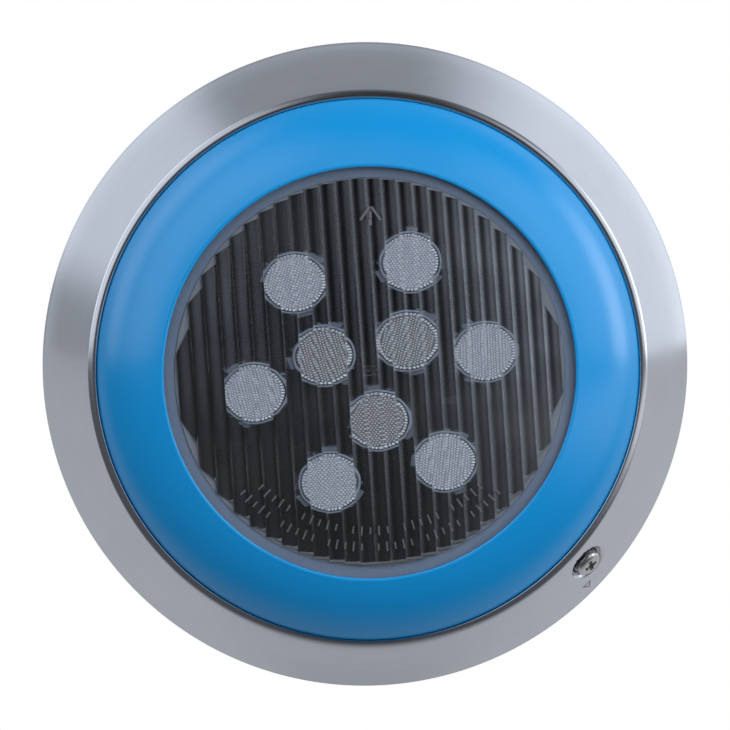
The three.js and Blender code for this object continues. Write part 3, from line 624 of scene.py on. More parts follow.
def face_ring():
    hem = along_arc((98, 34.2), (95.95, 35.38), 34, 12)
    curl = [radians(a) for a in range(84, 181, 8)]
    lip = [*hem[1:], *[(95.7 + 0.98 * cos(a), 34.42 + 0.98 * sin(a)) for a in curl]]
    corner = [(115 - 0.35 * (1 - cos(t * pi / 8)), 10.1 + 0.7 * sin(t * pi / 8)) for t in range(4)]
    outer = [(115, 5.0), (115, 7.5), *corner, *along_arc(*CONE, 64), *lip, (94.8, 33.4), (95, 32)]
    inner = offset_profile(outer, SHEET)
    inner[0], inner[-1] = (114, 5.0), (96, 32)
    angles = []
    turn, fine, coarse, fine_reach = 0.0, 0.2, 1.2, 6
    while turn < 360 - 1e-6:
        angles.append(radians(turn) + SCREW_AZIMUTH)
        turn += fine if min(turn, 360 - turn) < fine_reach - 1e-6 else coarse
    verts, faces = turned([*outer, *reversed(inner)], angles=angles)
    outside = len(outer) * len(angles)
    for i, (x, d, z) in enumerate(verts):
        moved = pressed(Vector((x * MM, -d * MM, z * MM)), 0.0 if i < outside else SHEET)
        verts[i] = (moved.x / MM, -moved.y / MM, moved.z / MM)
    piece("face_ring_sheet", mesh_from("face_ring_sheet", verts, faces, 50), "ring",
          STEEL_FACE, ["face_ring"])


def on_cone(radius, azimuth, lift):
    """A point on the ring's cone, in metres."""
    centre, size = arc_through(*CONE)
    depth = centre[1] + sqrt((size + lift) ** 2 - (radius - centre[0]) ** 2)
    return Vector((radius * cos(azimuth) * MM, -depth * MM, radius * sin(azimuth) * MM))


def face_mark():
    """A small etched triangle beside the screw, as a plain index mark."""
    verts, steps, middle_radius = [], 4, 110.9
    for scale in (1, 0.72):
        turns = [radians(90 + 120 * k) for k in range(3)]
        corners = [(2.3 * cos(a) * scale, 2.0 * sin(a) * scale) for a in turns]
        for k in range(3):
            a, b = corners[k], corners[(k + 1) % 3]
            for t in range(steps):
                u, v = (a[i] + (b[i] - a[i]) * t / steps for i in (0, 1))
                spot = on_cone(middle_radius + v * 0.62, SCREW_AZIMUTH - radians(3.2) - u / 111, 0.03)
                verts.append((spot.x / MM, -spot.y / MM, spot.z / MM))
    mesh = mesh_from("face_mark", verts, bands(2, 3 * steps, closed=False))
    dark = plastic("etched_oxide", (0.03, 0.03, 0.035), 0.5, 900.0, 0.00001, Metallic=0.6)
    piece("face_mark", mesh, "ring", dark)


def threaded(radius, pitch, depth, start, end, segments=40, per_pitch=6, core_end=0.5):
    """Points and faces of a threaded shank along the depth axis, from start to end."""
    rows = int((end - start) / pitch * per_pitch) + 1
    verts = []
    for i in range(rows):
        s = start + (end - start) * i / (rows - 1)
        fade = min(1.0, (end - s) / pitch, (s - start) / pitch + 0.25)
        for k in range(segments):
            phase = (s / pitch - k / segments) % 1.0
            r = radius - depth * (1 - abs(2 * phase - 1)) * max(fade, 0.0)
            if s < start + core_end:
                r -= (start + core_end - s) * 0.8
            verts.append((r * cos(2 * pi * k / segments), s, r * sin(2 * pi * k / segments)))
    return verts, bands(rows, segments, closed=False) + caps(rows, segments)


def cross_recess(width, length, top, depth, turn):
    """Two tapered arms of a cross recess, as one cutter each."""
    cutters = []
    for arm in (turn, turn + pi / 2):
        verts = [(x, d, z) for share, d in ((0.35, top - depth), (1.0, top + 0.6))
                 for x, z in slab(length * share, width, arm)]
        cutters.append(mesh_from("arm", verts, BOX_FACES))
    return cutters


def screw_head(radius, seat, edge, height, cross, segments=48):
    """A pan head on a seat at a given depth, with a cross recess of given width, length, depth and
    turn."""
    profile = [(0.0, seat), (radius - 0.25, seat), (radius, seat + 0.25), (radius, seat + edge)]
    for k in range(1, 9):
        a = radians(90 * k / 9)
        profile.append((radius * cos(a) ** 0.72, seat + edge + (height - edge) * sin(a)))
    head = mesh_from("head", *turned([*profile, (0.0, seat + height)], segments), 40)
    width, length, depth, turn = cross
    return carved(head, *cross_recess(width, length, seat + height, depth, turn))


def fixing_screw():
    seat, length = -0.7, 20
    head = screw_head(4.75, seat, 0.9, 2.4, (1.6, 6.0, 2.2, radians(-20)), 72)
    shank = mesh_from("shank", *threaded(2.45, 0.8, 0.42, seat - length, seat + 0.1), 40)
    piece("screw_pan_head", laid_along(merged("screw_body", head, shank)), "screw",
          STEEL_SCREW, ["fixing_screw"], SCREW_FRAME)


def merged(name, *meshes):
    work = bmesh.new()
    for mesh in meshes:
        work.from_mesh(mesh)
    result = bpy.data.meshes.new(name)
    work.to_mesh(result)
    work.free()
    return shaded(result, 38)


def laid_along(mesh):
    """Turns a mesh whose depth leaves along -Y so that it leaves along local +Z."""
    mesh.transform(Matrix.Rotation(radians(-90), 4, "X"))
    return mesh


def screw_washer():
    back = -1.6
    mesh = laid_along(mesh_from("washer", *tube(2.8, 4.5, back, back + 0.6, 72, 0.12)))
    piece("seal_washer", mesh, "washer", STEEL_WASHER, ["screw_washer"], SCREW_FRAME)


def places(prefix, count):
    """Where numbered CAD nodes stand, as (x, z) in millimetres."""
    spots = [middle(f"{prefix}_{i}") for i in range(1, count + 1)]
    return [(spot.x / MM, spot.z / MM) for spot in spots]


# ------------------------------------------------------------------ trim ring, gasket, lens

def trim_ring():
    crown = along_arc((94.5, 35.2), (72, 49), 33, 40)
    under = [p for p in reversed(offset_profile(crown, 2.4)) if 78.2 < p[0] < 91.8]
    profile = [(94.5, 34.2), (94.62, 34.7), (94.62, 35.1), *crown[1:-1], (72.3, 48.95), (71.7, 48.95),
               (71.3, 48.7), (71.2, 48.3), (71.2, 47.8), (75.7, 47.8), (75.7, 40.2), (77.9, 40.2),
               (77.9, 44.0), *under, (92.1, 33.8), (94.3, 33.8)]
    bosses = []
    for x, z in places("cover_screw", 4):
        bosses.append(tube(1.8, 3.4, 33.8, 42.6, 32, 0.15, (x, z)))
        for k in range(4):
            a = atan2(z, x) + pi / 4 + k * pi / 2
            bosses.append(prism(slab(2.6, 0.9, a, (x + 3.9 * cos(a), z + 3.9 * sin(a))), 34.4, 40.4))
    mesh = mesh_from("trim_crown", *joined(turned(profile, 288), *bosses), 40)
    piece("trim_crown", mesh, "lamp", BLUE, ["trim_ring"])


def gasket():
    back, front = depths("lens_gasket")
    profile = [(67.4, back)]
    for r in (69.3, 71.2, 73.1):
        profile += [(r - 0.55, back), (r, back), (r + 0.55, back)]
    profile += [(75, back), (75, front - 0.25)]
    for r in (73.8, 72.4):
        profile += [(r + 0.35, front - 0.25), (r, front), (r - 0.35, front - 0.25)]
    profile += [(67.4, front - 0.25)]
    piece("lens_seal", mesh_from("lens_seal", *turned(profile, 192)), "lamp", GASKET,
          ["lens_gasket"])


def lens_inside(x, z):
    """Depth of the lens's fluted inner surface, before the flutes are leant over."""
    share = abs((abs(x) / FLUTE["pitch"] + 0.5) % 1.0 - 0.5) * 2
    bowl = 49.3 - 3.7 * (hypot(x, z) / FLUTE["zone"]) ** 2
    return bowl + FLUTE["rise"] * share ** FLUTE["power"]


def flute_rows(heights):
    rows = {round(i * 2.0, 4) for i in range(-33, 34)}
    for height in heights:
        rows |= {height, -height}
    return sorted(rows)


def flute_end(i, share, reaches):
    """Height where flute i ends, at a share of its width from its edge nearer the axis."""
    above = reaches[i - 1] if i else FLUTE["zone"]
    return round(reaches[i] + FLUTE["slant"] * (above - reaches[i]) * (1 - share), 4)


def lens():
    pitch, count = FLUTE["pitch"], FLUTE["count"]
    back = depths("front_lens")[0]
    edges = [(i + 0.5) * pitch for i in range(count + 1)]
    reaches = [round(sqrt(FLUTE["zone"] ** 2 - x ** 2), 4) for x in edges]
    shoulders = [flute_end(i, 0, reaches) for i in range(count + 1)]
    rows = flute_rows(reaches + shoulders)
    half = [0, 0.02, 0.05, 0.09, 0.14, 0.2, 0.27, 0.35, 0.43, 0.5]
    shares = [*half, 0.57, 0.65, 0.73, 0.8, 0.86, 0.91, 0.95, 0.98, 1]
    work = bmesh.new()
    seen = {}
    lean = radians(-FLUTE["lean"])

    def vertex(x, d, z):
        key = (round(x, 3), round(d, 3), round(z, 3))
        if key not in seen:
            lx, lz = x * cos(lean) + z * sin(lean), -x * sin(lean) + z * cos(lean)
            seen[key] = work.verts.new((lx, d, lz))
        return seen[key]

    def patch(side, surface, edge=()):
        """A face through (x, z) points on the flutes and then points at the lens's back."""
        corners = [(side * x, lens_inside(x, z), z) for x, z in surface]
        corners += [(side * x, back, z) for x, z in edge]
        unique = list(dict.fromkeys(vertex(*corner) for corner in corners))
        if len(unique) > 2:
            work.faces.new(unique)

    for side in (1, -1):
        for i, reach in enumerate(reaches):
            xs = [(i - 0.5 + s) * pitch for s in shares if i - 0.5 + s >= 0]
            zs = [z for z in rows if abs(z) <= reach + 1e-6]
            for z0, z1 in zip(zs, zs[1:]):
                for x0, x1 in zip(xs, xs[1:]):
                    patch(side, [(x0, z0), (x1, z0), (x1, z1), (x0, z1)])
            for up in (1, -1):
                for x0, x1 in zip(xs, xs[1:]):
                    z0, z1 = (up * flute_end(i, x / pitch - i + 0.5, reaches) for x in (x0, x1))
                    between = [z for z in rows if x0 == xs[0] and reach < up * z < up * z0]
                    along = [(x0, z) for z in sorted(between, key=abs)]
                    patch(side, [(x0, up * reach), *along, (x0, z0), (x1, z1), (x1, up * reach)])
                    patch(side, [(x0, z0), (x1, z1)], [(x1, z1), (x0, z0)])
            next_reach = shoulders[i + 1] if i < count else 0
            x = (i + 0.5) * pitch
            for z0, z1 in zip(zs, zs[1:]):
                if i == count or min(abs(z0), abs(z1)) >= next_reach - 1e-6 and z0 * z1 > 0:
                    patch(side, [(x, z0), (x, z1)], [(x, z1), (x, z0)])
    stairs = [e for e in work.edges if len(e.link_faces) == 1]
    segments = 240
    rings = [(STEP_RADIUS, back), (75.3, back), (75.3, 47.3), (75.1, 47.5), (DOME_RADIUS, 47.5)]
    rings += [(r, dome_depth(r, 0)) for r in (70, 66, 60, 52, 44, 36, 28, 20, 12, 5)]
    loops = [[work.verts.new(point) for point in circle(r, d, segments)] for r, d in rings]
    apex = work.verts.new((0, dome_depth(0, 0), 0))
    for k in range(segments):
        m = (k + 1) % segments
        for a, b in zip(loops, loops[1:]):
            work.faces.new((a[k], a[m], b[m], b[k]))
        work.faces.new((loops[-1][k], loops[-1][m], apex))
    rim = [work.edges.get((loops[0][k], loops[0][(k + 1) % segments])) for k in range(segments)]
    bmesh.ops.triangle_fill(work, edges=stairs + rim, use_beauty=False)
    work.verts.index_update()
    verts = [tuple(v.co) for v in work.verts]
    faces = [tuple(v.index for v in f.verts) for f in work.faces]
    work.free()
    mesh = mesh_from("fluted_lens", verts, faces, 24)
    frost_flute_ends(mesh, back)
    marks = mesh_from("lens_marks", *joined(*lens_marks()), 60)
    for face in marks.polygons:
        face.material_index = 2
    piece("fluted_lens", merged("fluted_lens", mesh, marks), "lamp",
          (LENS, FROST, MARK, FLUTED), ["front_lens"])


def frost_flute_ends(mesh, back):
    """The end walls of the flutes and the steps round them are left frosted by the mould."""
    for face in mesh.polygons:
        radius = hypot(face.center.x, face.center.z) / MM
        depth = -face.center.y / MM
        on_step = abs(depth - back) < 0.01 and radius < STEP_RADIUS
        end_wall = abs(face.normal.y) < 0.05 and depth > back and radius < FLUTE["zone"] + 0.4
        # The strips on the back of the lens get the material with the painted reflection.
        strip = face.normal.y > 0.5 and depth > back + 0.05 and radius < FLUTE["zone"]
        face.material_index = 1 if on_step or end_wall else 3 if strip else 0


def dome_depth(x, z):
    return 52.5 - 5.0 * (hypot(x, z) / DOME_RADIUS) ** 2


def raised(outline):
    """A low pad standing on the lens's dome."""
    top = prism(outline, 0, 0.18, 0.08)
    return [(x, dome_depth(x, z) - 0.1 + d, z) for x, d, z in top[0]], top[1]


def lens_marks():
    """An arrow at the top of the lens and two arcs of grip bars at the bottom."""
    bars = [(0.8, 5.6, -0.62, (-1.9, 55.2)), (0.8, 5.6, 0.62, (1.9, 55.2)), (0.8, 5.0, 0, (0, 53.6))]
    for radius, half, step in ((54.5, 44, 3.05), (60.3, 47, 2.75)):
        turns = int(2 * half / step)
        for k in range(turns + 1):
            if k % 6 != 5:
                a = radians(-90 - half + k * 2 * half / turns)
                bars.append((0.55, 3.4 if k % 2 else 2.4, a - pi / 2, (radius * cos(a), radius * sin(a))))
    return [raised(slab(*bar)) for bar in bars]


# ------------------------------------------------------------------ light engine

def beads(radius, pitch, face):
    """Domed beads packed in a hexagonal pattern over a round face."""
    verts, faces = [], []
    rows = int(radius / (pitch * 0.866)) + 1
    for j in range(-rows, rows + 1):
        for i in range(-rows - 2, rows + 3):
            cx, cz = (i + 0.5 * (j % 2)) * pitch, j * pitch * 0.866
            if hypot(cx, cz) > radius - pitch * 0.4:
                continue
            start = len(verts)
            for size, rise in ((0.56, -0.04), (0.38, 0.13)):
                for k in range(6):
                    a = pi / 3 * k + pi / 6
                    verts.append((cx + size * pitch * cos(a), face + rise, cz + size * pitch * sin(a)))
            verts.append((cx, face + 0.21, cz))
            for k in range(6):
                m = (k + 1) % 6
                faces.append((start + k, start + m, start + 6 + m, start + 6 + k))
                faces.append((start + 6 + k, start + 6 + m, start + 12))
    return verts, faces


def optic_mesh():
    back, front = depths("led_optic_1")
    face = front - 0.25
    count = 120
    profile = [(0.02, back + 2.8), (2.4, back + 0.1), (2.7, back), (4.4, back), (4.8, back + 0.3),
               (9.0, front - 1.25), (9.75, front - 1.2), (9.9, front - 0.9), (9.9, front - 0.3),
               (9.7, front), (9.3, front), (9.1, face), (0.02, face)]
    verts, faces = turned(profile, count)
    for i in range(count):
        lift = 0.28 if i % 2 else 0.0
        for row in (8, 9, 10):
            r, d = profile[row]
            x, _, z = verts[row * count + i]
            verts[row * count + i] = (x, d - lift, z)
    mesh = mesh_from("beaded_optic", *joined((verts, faces), beads(9.15, 0.86, face)), 25)
    for polygon in mesh.polygons:
        polygon.material_index = optic_zone(polygon.center, face, count)
    return mesh


def optic_zone(centre, face, count):
    """Which material a face of the optic gets: 0 bead crown with a painted highlight, 1 valley with painted
    shade, 2 rim crest with a painted highlight, 3 rim valley with painted shade.
    """
    radius, rise = hypot(centre.x, centre.z) / MM, -centre.y / MM - face
    if radius > 9.15:
        step = int(((atan2(centre.z, centre.x) / (2 * pi)) % 1.0) * count)
        return 3 if step % 2 else 2
    return 0 if rise > 0.12 else 1


def holder_mesh():
    back, front = depths("optic_holder_1")
    profile = fillet([(8.9, back), (10.9, back), (10.9, front - 0.5), (10.6, front), (10.2, front),
                      (10.1, front - 1.4), (9.5, front - 1.6), (9.0, front - 2.6)], 0.2, 2)
    parts = [turned(profile, 96)]
    for k in range(3):
        a = radians(90 + 120 * k)
        tab = slab(1.9, 4.4, a, (11.2 * cos(a), 11.2 * sin(a)), 0.5)
        parts.append(prism(tab, back, front - 1.2, 0.3))
        for side in (-1, 1):
            b = a + side * 0.42
            parts.append(prism(slab(1.1, 0.8, b, (10.9 * cos(b), 10.9 * sin(b))), back, front - 2.5))
    mesh = mesh_from("optic_cup", *joined(*parts), 35)
    for face in mesh.polygons:
        face.material_index = 1 if -face.center.y / MM > front - 0.6 else 0
    return mesh


def emitter_mesh():
    back, front = depths("led_emitter_1")
    base = prism(slab(4.9, 4.9, 0.0, (0, 0), 0.4), back, back + 0.7, 0.1)
    dome = [(2.0, back + 0.6), (2.0, back + 1.1)]
    for k in range(1, 9):
        a = radians(90 * k / 9)
        dome.append((1.9 * cos(a), back + 1.1 + (front - back - 1.1) * sin(a)))
    dome += [(0.02, front), (0.02, back + 0.6)]
    return mesh_from("emitter", *joined(base, turned(dome, 48)), 35)


OUTER_OPTIC = (LIT_BEAD, SHADED_BEAD, RIM_HIGHLIGHT, RIM_SHADE)
INNER_OPTIC = (LIT_BEAD_WARM, SHADED_BEAD_WARM, RIM_HIGHLIGHT, RIM_SHADE)


def light_engine():
    near, far, holder, emitter = optic_mesh(), optic_mesh(), holder_mesh(), emitter_mesh()
    for number in range(1, 10):
        spot = middle(f"led_optic_{number}")
        toward = atan2(spot.z, spot.x)
        inner = hypot(spot.x, spot.z) < 0.03
        for name, mesh, slot, material, node in (
                ("beaded_optic", near if inner else far, "optic_clear", INNER_OPTIC if inner else OUTER_OPTIC,
                 f"led_optic_{number}"),
                ("optic_cup", holder, "holder_clear", (HOLDER, HOLDER_EDGE), f"optic_holder_{number}"),
                ("emitter", emitter, "led_phosphor", PHOSPHOR, f"led_emitter_{number}")):
            place = Matrix.Translation((spot.x, 0, spot.z)) @ Matrix.Rotation(-toward - number * 0.4, 4, "Y")
            piece(f"{name}_{number}", mesh, "lamp", material, [node], place)


def led_board():
    back, front = depths("led_board")
    low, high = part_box("led_board")
    radius = (high.x - low.x) / 2 / MM
    profile = fillet([(0.8, back), (radius, back), (radius, front), (0.8, front)], 0.12, 2)
    drills = [mesh_from("drill", *tube(NEAR_AXIS, 1.9, back - 1, front + 1, 32, at=at))
              for at in places("board_screw", 3)]
    mesh = carved(mesh_from("board", *turned(profile, 192)), *drills)
    piece("light_board", mesh, "lamp", BOARD, ["led_board"])


def board_screws():
    for number in (1, 2, 3):
        back, front = depths(f"board_screw_{number}")
        spot = middle(f"board_screw_{number}")
        height = 1.9
        head = screw_head(2.8, front - height, 0.7, height, (0.7, 3.0, 1.1, 0.5 * number))
        shank = mesh_from("shank", *threaded(1.5, 0.7, 0.3, back, front - height + 0.1, 28, 5), 40)
        piece(f"board_fixing_{number}", merged("board_screw", head, shank), "lamp",
              BLACK_OXIDE, [f"board_screw_{number}"], Matrix.Translation((spot.x, 0, spot.z)))


# ------------------------------------------------------------------ housing

def webs(count, thick, radius_in, radius_out, back_in, back_out, front, skipped=()):
    """Thin moulded webs between two walls, spread evenly round a flange that they stand on."""
    section = [(radius_in, back_in), (radius_out, back_out), (radius_out, front), (radius_in, front)]
    parts = []
    for number in range(count):
        a = radians(360 / count * (number + 0.5))
        verts = [(r * cos(a) - side * sin(a), d, r * sin(a) + side * cos(a))
                 for side in (-thick / 2, thick / 2) for r, d in section]
        if number not in skipped:
            parts.append((verts, BOX_FACES))
    return parts


def rear_housing():
    shell = [(NEAR_AXIS, 7.4), (18, 7.4), (18.6, 7), (46, 7), (46.6, 7.4), (48.4, 7.4), (49, 7), (50.5, 7),
             (52.9, 8.2), (54, 11), (54, 26.9), (51.5, 26.9), (51.5, 11.5), (49.5, 9.5), (NEAR_AXIS, 9.5)]
    parts = [turned(fillet(shell, 0.6), 240)]
    for node in STUDS:
        parts.append(tube(2.6, 6.4, 6.95, 8, 48, 0.25, (0, middle(node).z / MM)))
    bore = mesh_from("bore", *tube(NEAR_AXIS, 6.3, 44, 62, 64))
    pad = mesh_from("pad", *tube(6.3, 8.8, 52.0, 55.5, 64, 0.4))
    for mesh in (bore, pad):
        mesh.transform(GLAND_TURN)
    shell = carved(mesh_from("back_cup", *joined(*parts), 35), bore, sharp=35)
    posts = [tube(NEAR_AXIS, 2.6, 9, 15.7, 24, 0.2, (x, z)) for x in (-23, 23) for z in (-24, 28)]
    mesh = merged("back_cup", shell, pad, mesh_from("posts", *joined(*posts)))
    piece("back_cup", mesh, "lamp", HOUSING, ["rear_housing"])


def engine_carrier():
    profile = [(48.7, 25), (51.2, 25), (51.2, 27.2), (71.1, 27.2), (71.1, 40.5), (75.2, 40.5), (75.2, 43),
               (68.6, 43), (68.6, 29.2), (48.7, 29.2)]
    parts = [turned(fillet(profile, 0.4), 240)]
    parts += [tube(NEAR_AXIS, 3.2, 24.6, 27.6, 32, 0.4, at) for at in places("board_screw", 3)]
    parts += webs(36, 1.2, 54.8, 70.4, 25.6, 26.6, 27.6)
    mesh = mesh_from("carrier_plate", *joined(*parts), 35)
    piece("carrier_plate", mesh, "lamp", HOUSING, ["engine_carrier"])


def clamp_ring():
    profile = [(71.4, 31), (89.2, 31), (89.2, 31.9), (90.2, 31.9), (90.2, 32.6), (89.2, 32.6), (89.2, 33.5),
               (75.2, 33.5), (75.2, 40.2), (71.4, 40.2)]
    parts = [turned(fillet(profile, 0.3), 240), *webs(36, 1.3, 74.0, 88.4, 29.0, 30.2, 31.4, (4, 13, 22, 31))]
    mesh = mesh_from("clamp_collar", *joined(*parts), 35)
    for at in places("cover_screw", 4):
        mesh = carved(mesh, mesh_from("drill", *tube(NEAR_AXIS, 1.9, 28, 35, 32, at=at)))
    piece("clamp_collar", mesh, "lamp", HOUSING, ["clamp_ring"])


def skirt_hoop():
    profile = [(89.5, 20.6), (92, 20.6), (92, 29), (96, 29), (96, 31.5), (92, 31.5), (92, 33.5), (89.5, 33.5),
               (89.5, 32.9), (90.5, 32.9), (90.5, 31.6), (89.5, 31.6)]
    parts = [turned(fillet(profile, 0.35), 288), *webs(48, 1.2, 91.5, 94.8, 25.5, 28.4, 29.4)]
    mesh = mesh_from("skirt_hoop_moulding", *joined(*parts), 35)
    piece("skirt_hoop_moulding", mesh, "lamp", HOUSING, ["skirt_hoop"])


def cover_screws():
    for number in range(1, 5):
        back, front = depths(f"cover_screw_{number}")
        spot = middle(f"cover_screw_{number}")
        height = 2.4
        head = screw_head(3, -back - height, 0.9, height, (0.8, 3.2, 1.3, 0.6 * number))
        head.transform(Matrix.Scale(-1, 4, (0, 1, 0)))
        head.flip_normals()
        thread = threaded(1.55, 1.2, 0.4, back + height - 0.1, front, 28, 6, 0.0)
        mesh = merged("cover_fixing", head, mesh_from("shank", *thread, 40))
        piece(f"cover_fixing_{number}", mesh, "lamp", STEEL_SCREW,
              [f"cover_screw_{number}"], Matrix.Translation((spot.x, 0, spot.z)))


# ------------------------------------------------------------------ cable gland

# Turns a shape made round the lamp's axis so that it points straight down at the gland.
GLAND_TURN = Matrix.Translation((0, middle("gland_nut").y, 0)) @ Matrix.Rotation(radians(90), 4, "X")


def hexagonal(outside, inside, count, groove=0.0):
    """A nut. Outside it is a hexagon cut to a largest radius at each depth, with grooves along the
    corners, and inside it is round. Both are given as (depth, radius)."""
    verts = []
    for d, cap in outside:
        for k in range(count):
            a = 2 * pi * k / count
            flat = NUT_FLATS / 2 / cos((a + pi / 6) % (pi / 3) - pi / 6)
            r = min(flat, cap) - (groove if k % 6 < 2 and flat > CORNER_FROM else 0.0)
            verts.append((r * cos(a), d, r * sin(a)))
    for d, r in inside:
        verts += circle(r, d, count)
    return verts, bands(len(outside) + len(inside), count)


def hollow_thread(bore, start, end, segments=64):
    """A threaded tube along the gland's axis."""
    verts, faces = threaded(6.0, 1.5, 0.75, start, end, segments, 8, 0.0)
    rows = len(verts) // segments
    inside = circle(bore, start, segments) + circle(bore, end, segments)
    verts, faces = joined((verts, faces[:-2]), (inside, bands(2, segments, closed=False)))
    for row, inner_row in ((0, rows), (rows - 1, rows + 1)):
        for k in range(segments):
            m = (k + 1) % segments
            faces.append((row * segments + k, row * segments + m, inner_row * segments + m,
                          inner_row * segments + k))
    return verts, faces


def on_gland(name, parts, body, material, nodes, sharp=35):
    mesh = mesh_from(name, *joined(*parts), sharp)
    mesh.transform(GLAND_TURN)
    return piece(name, mesh, body, material, nodes)


def gland():
    back, front, chamfer = 57.5, 61.5, 0.8
    corner = NUT_FLATS / 2 / cos(pi / 6)
    slope = 0.6 * chamfer
    outside = [(back, corner - chamfer), (back + slope, corner), (front - slope, corner),
               (front, corner - chamfer)]
    body = [hexagonal(outside, [(front, 3.7), (back, 3.7)], 96), hollow_thread(4.7, 61.3, 69.0),
            hollow_thread(3.7, 48.3, 57.7)]
    on_gland("gland_stem", body, "lamp", NYLON, ["gland_body"])
    ring = [(7.15 + 0.75 * cos(2 * pi * k / 16), 56.5 + 0.75 * sin(2 * pi * k / 16)) for k in range(16)]
    on_gland("gland_seat_ring", [turned(ring, 72)], "lamp", RUBBER, ["gland_o_ring"])
    seal = fillet([(3.3, 63.3), (4.4, 63.3), (4.4, 69.7), (4.1, 70.5), (3.3, 70.5)], 0.25)
    on_gland("gland_sleeve", [turned(seal, 72)], "lamp", RUBBER, ["gland_seal"])
    on_gland("gland_slip_washer", [tube(3.4, 5.4, 70.8, 71.8, 72, 0.15)], "gland_slide",
             ACETAL, ["gland_slip_ring"])
    back, roof = 62.0, 72.1
    outside = [(back, 7.7), (back + 0.35, 8.05), (back + 6.2, 8.05), (back + 7.0, 7.6)]
    for a in (5, 25, 45, 65, 85):
        outside.append((roof + 2.4 - 2.2 * (1 - sin(radians(a))), 5.2 + 1.9 * cos(radians(a))))
    inside = [(roof + 2.4, 3.6), (roof + 2.1, 3.4), (roof, 3.4), (roof, 6.2), (back, 6.2)]
    on_gland("gland_dome_nut", [hexagonal(outside, inside, 144, 0.22)], "gland_cap", NYLON,
             ["gland_nut"], 28)


# ------------------------------------------------------------------ bracket, studs and small steel

def wall_side():
    piece("hanging_bracket", bevelled_copy("wall_bracket", 0.3), "bracket", STEEL_BRACKET,
          ["wall_bracket"])
    profile = [(0.0, 1.15), (2.6, 1.0), (4.1, 1.0), (4.6, 1.5), (4.6, 4.0), (4.4, 4.2), (2.7, 4.2),
               (2.5, 4.4), (2.5, 6.6), (1.6, 6.7), (1.6, 12.7), (1.3, 13), (0.0, 13)]
    for node in STUDS:
        slot = mesh_from("slot", *prism(slab(7.0, 0.9, radians(12)), 0.5, 1.9))
        mesh = carved(mesh_from("stud", *turned(profile, 64), 30), slot)
        piece(f"shoulder_{node[5:]}", mesh, "lamp", STEEL_STUD, [node],
              Matrix.Translation((0, 0, middle(node).z)))
    piece("hook_tongue", bevelled_copy("hook_tab", 0.2), "ring", STEEL_TAB, ["hook_tab"])
    piece("captive_nut", bevelled_copy("weld_nut", 0.25), "ring", STEEL_NUT, ["weld_nut"])


def hidden_parts():
    """CAD pieces inside the sealed housing keep their shapes and get better materials."""
    finishes = {"heat_sink": ALUMINIUM, "driver_board": GREEN_MASK, "smoothing_capacitor": SLEEVE,
                "terminal_block": TERMINAL, "led_lead": JACKET}
    for node, material in finishes.items():
        for slot in NODES[node].material_slots:
            slot.material = material


# ------------------------------------------------------------------ stage, light and camera

def stage():
    """A pale floor that looks white beside the object and is darker in front of the wall."""
    low = cad_bounds[0][2]
    mesh = bpy.data.meshes.new("floor")
    half, steps = 6.0, 12
    line = [-half + 2 * half * i / steps for i in range(steps + 1)]
    verts = [(x, y, low) for x in line for y in line]
    row = steps + 1
    corners = [i * row + j for i in range(steps) for j in range(steps)]
    mesh.from_pydata(verts, [], [(c, c + row, c + row + 1, c + 1) for c in corners])
    floor = linked("floor", mesh)
    material, tree, shader = start_material("pale_floor", Roughness=0.9, Specular_IOR_Level=0.0,
                                            Emission_Strength=0.34)
    across, forward, _ = split(here(tree))
    near = forward.ramp(0.0, 1.0, -0.058, -0.027)
    level = near.ramp(0.1, 0.97) * across.ramp(1.0, 1.15, 0.04, 0.15)
    beside = across.soft(0.0, 2.1, 0.10, 0.42) * forward.ramp(1.0, 0.0, -0.10, -0.04)
    beside = beside * forward.ramp(0.0, 1.0, -0.9, -0.5)
    feed(shader, Base_Color=shades(near, (0.06, 0.06, 0.062), (0.19, 0.19, 0.195)),
         Emission_Color=level.larger(beside))
    glow = link(tree, "ShaderNodeEmission", {"Color": (1, 1, 1, 1), "Strength": 1.0})
    path = link(tree, "ShaderNodeLightPath").outputs
    show(tree, mixed_shader(tree, path["Is Camera Ray"], shader.outputs[0], glow.outputs[0]))
    mesh.materials.append(material)


def soft_panel(parts, centre, half, soft, near, far, strength):
    """A soft-edged light round the lamp: its middle, half width and edge in degrees about the
    lamp's axis, and where it fades in and out from front (-1) to back (1)."""
    x, y, z = parts
    a = radians(centre)
    toward = (x * cos(a) + z * sin(a)) / distance(x, z).larger(1e-4)
    across = toward.soft(0.0, 1.0, cos(radians(half + soft)), cos(radians(half - soft)))
    return across * (y.soft(0.0, strength, *near) * y.soft(1.0, 0.0, *far))


PANELS = [
    (22.5, 40, 17, (-0.10, 0.06), (1.5, 2), 0.58), (144, 20.5, 7, (-0.10, 0.06), (1.5, 2), 0.44),
    (-4, 31, 24, (-0.40, -0.22), (-0.10, 0.02), 3.0), (150, 28, 18, (-0.40, -0.20), (-0.10, 0.02), 1.3),
    (160, 45, 22, (-0.93, -0.70), (-0.50, -0.25), 0.9), (10, 40, 22, (-0.86, -0.66), (-0.45, -0.25), 0.85),
]


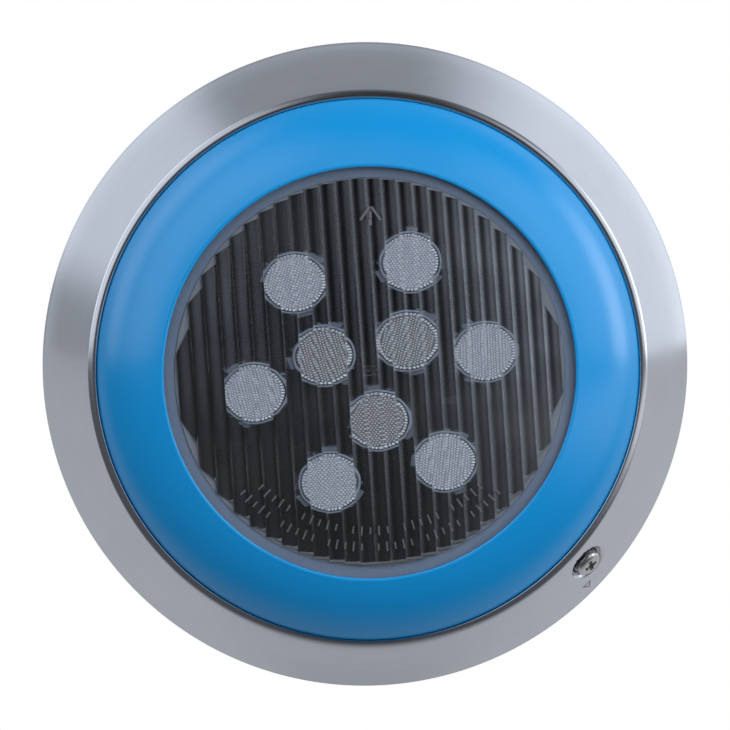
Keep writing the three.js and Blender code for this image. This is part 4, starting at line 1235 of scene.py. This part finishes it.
def world():
    """White behind the object, and a dim room that is darkest in front of it."""
    made = bpy.data.worlds.new("studio")
    bpy.context.scene.world = made
    made.use_nodes = True
    tree = made.node_tree
    tree.nodes.clear()
    parts = split(Value(link(tree, "ShaderNodeTexCoord").outputs["Generated"]))
    room = parts[1].ramp(0.04, 0.2, -0.6, -0.04) + parts[1].ramp(0.0, 0.16, -0.04, 0.06)
    for panel in PANELS:
        room = room + soft_panel(parts, *panel)
    room = room + parts[1].ramp(0.0, 0.6, 0.45, 0.9)
    dim = link(tree, "ShaderNodeBackground", {"Color": (0.93, 0.96, 1.0, 1), "Strength": room})
    white = link(tree, "ShaderNodeBackground", {"Color": (1, 1, 1, 1), "Strength": 1.0})
    path = link(tree, "ShaderNodeLightPath").outputs
    seen = mixed_shader(tree, path["Is Camera Ray"], dim.outputs[0], white.outputs[0])
    tree.links.new(seen, link(tree, "ShaderNodeOutputWorld").inputs["Surface"])


def softbox(name, position, width, height, radiance):
    """A lamp that faces the origin and isn't seen itself, nor in reflections."""
    data = bpy.data.lights.new(name, "AREA")
    data.shape = "RECTANGLE"
    data.size, data.size_y = width, height
    data.energy = radiance * pi * width * height
    obj = linked(name, data)
    ahead = -Vector(position).normalized()
    side = Vector((0, 1, 0)).cross(-Vector(position)).normalized()
    obj.matrix_world = Matrix((side, -ahead.cross(side), -ahead)).transposed().to_4x4()
    obj.location = position
    obj.visible_camera = obj.visible_glossy = obj.visible_transmission = False


def lights():
    softbox("key", (0.1, -1.1, 0.8), 1.5, 1.0, 2.2)
    softbox("fill", (0.5, -1.0, 0.06), 0.8, 0.5, 4.4)


def camera():
    side, above, away = radians(2.2), radians(3.9), 1.2
    backward = Vector((-sin(side), -1, 0)).normalized() * cos(above) + Vector((0, 0, sin(above)))
    data = bpy.data.cameras.new("camera")
    data.sensor_width = 36
    data.lens = 166
    data.shift_x, data.shift_y = -0.0015, 0.0012
    data.clip_start, data.clip_end = 0.01, 50
    obj = linked("camera", data)
    obj.location = Vector((0, -0.010, 0)) + backward * away
    obj.rotation_euler = (-backward).to_track_quat("-Z", "Y").to_euler()
    bpy.context.scene.camera = obj


face_ring()
face_mark()
screw_washer()
fixing_screw()
trim_ring()
gasket()
lens()
light_engine()
led_board()
board_screws()
rear_housing()
engine_carrier()
clamp_ring()
skirt_hoop()
cover_screws()
gland()
wall_side()
hidden_parts()
stage()
world()
lights()
camera()
bpy.context.scene.view_settings.view_transform = "Standard"
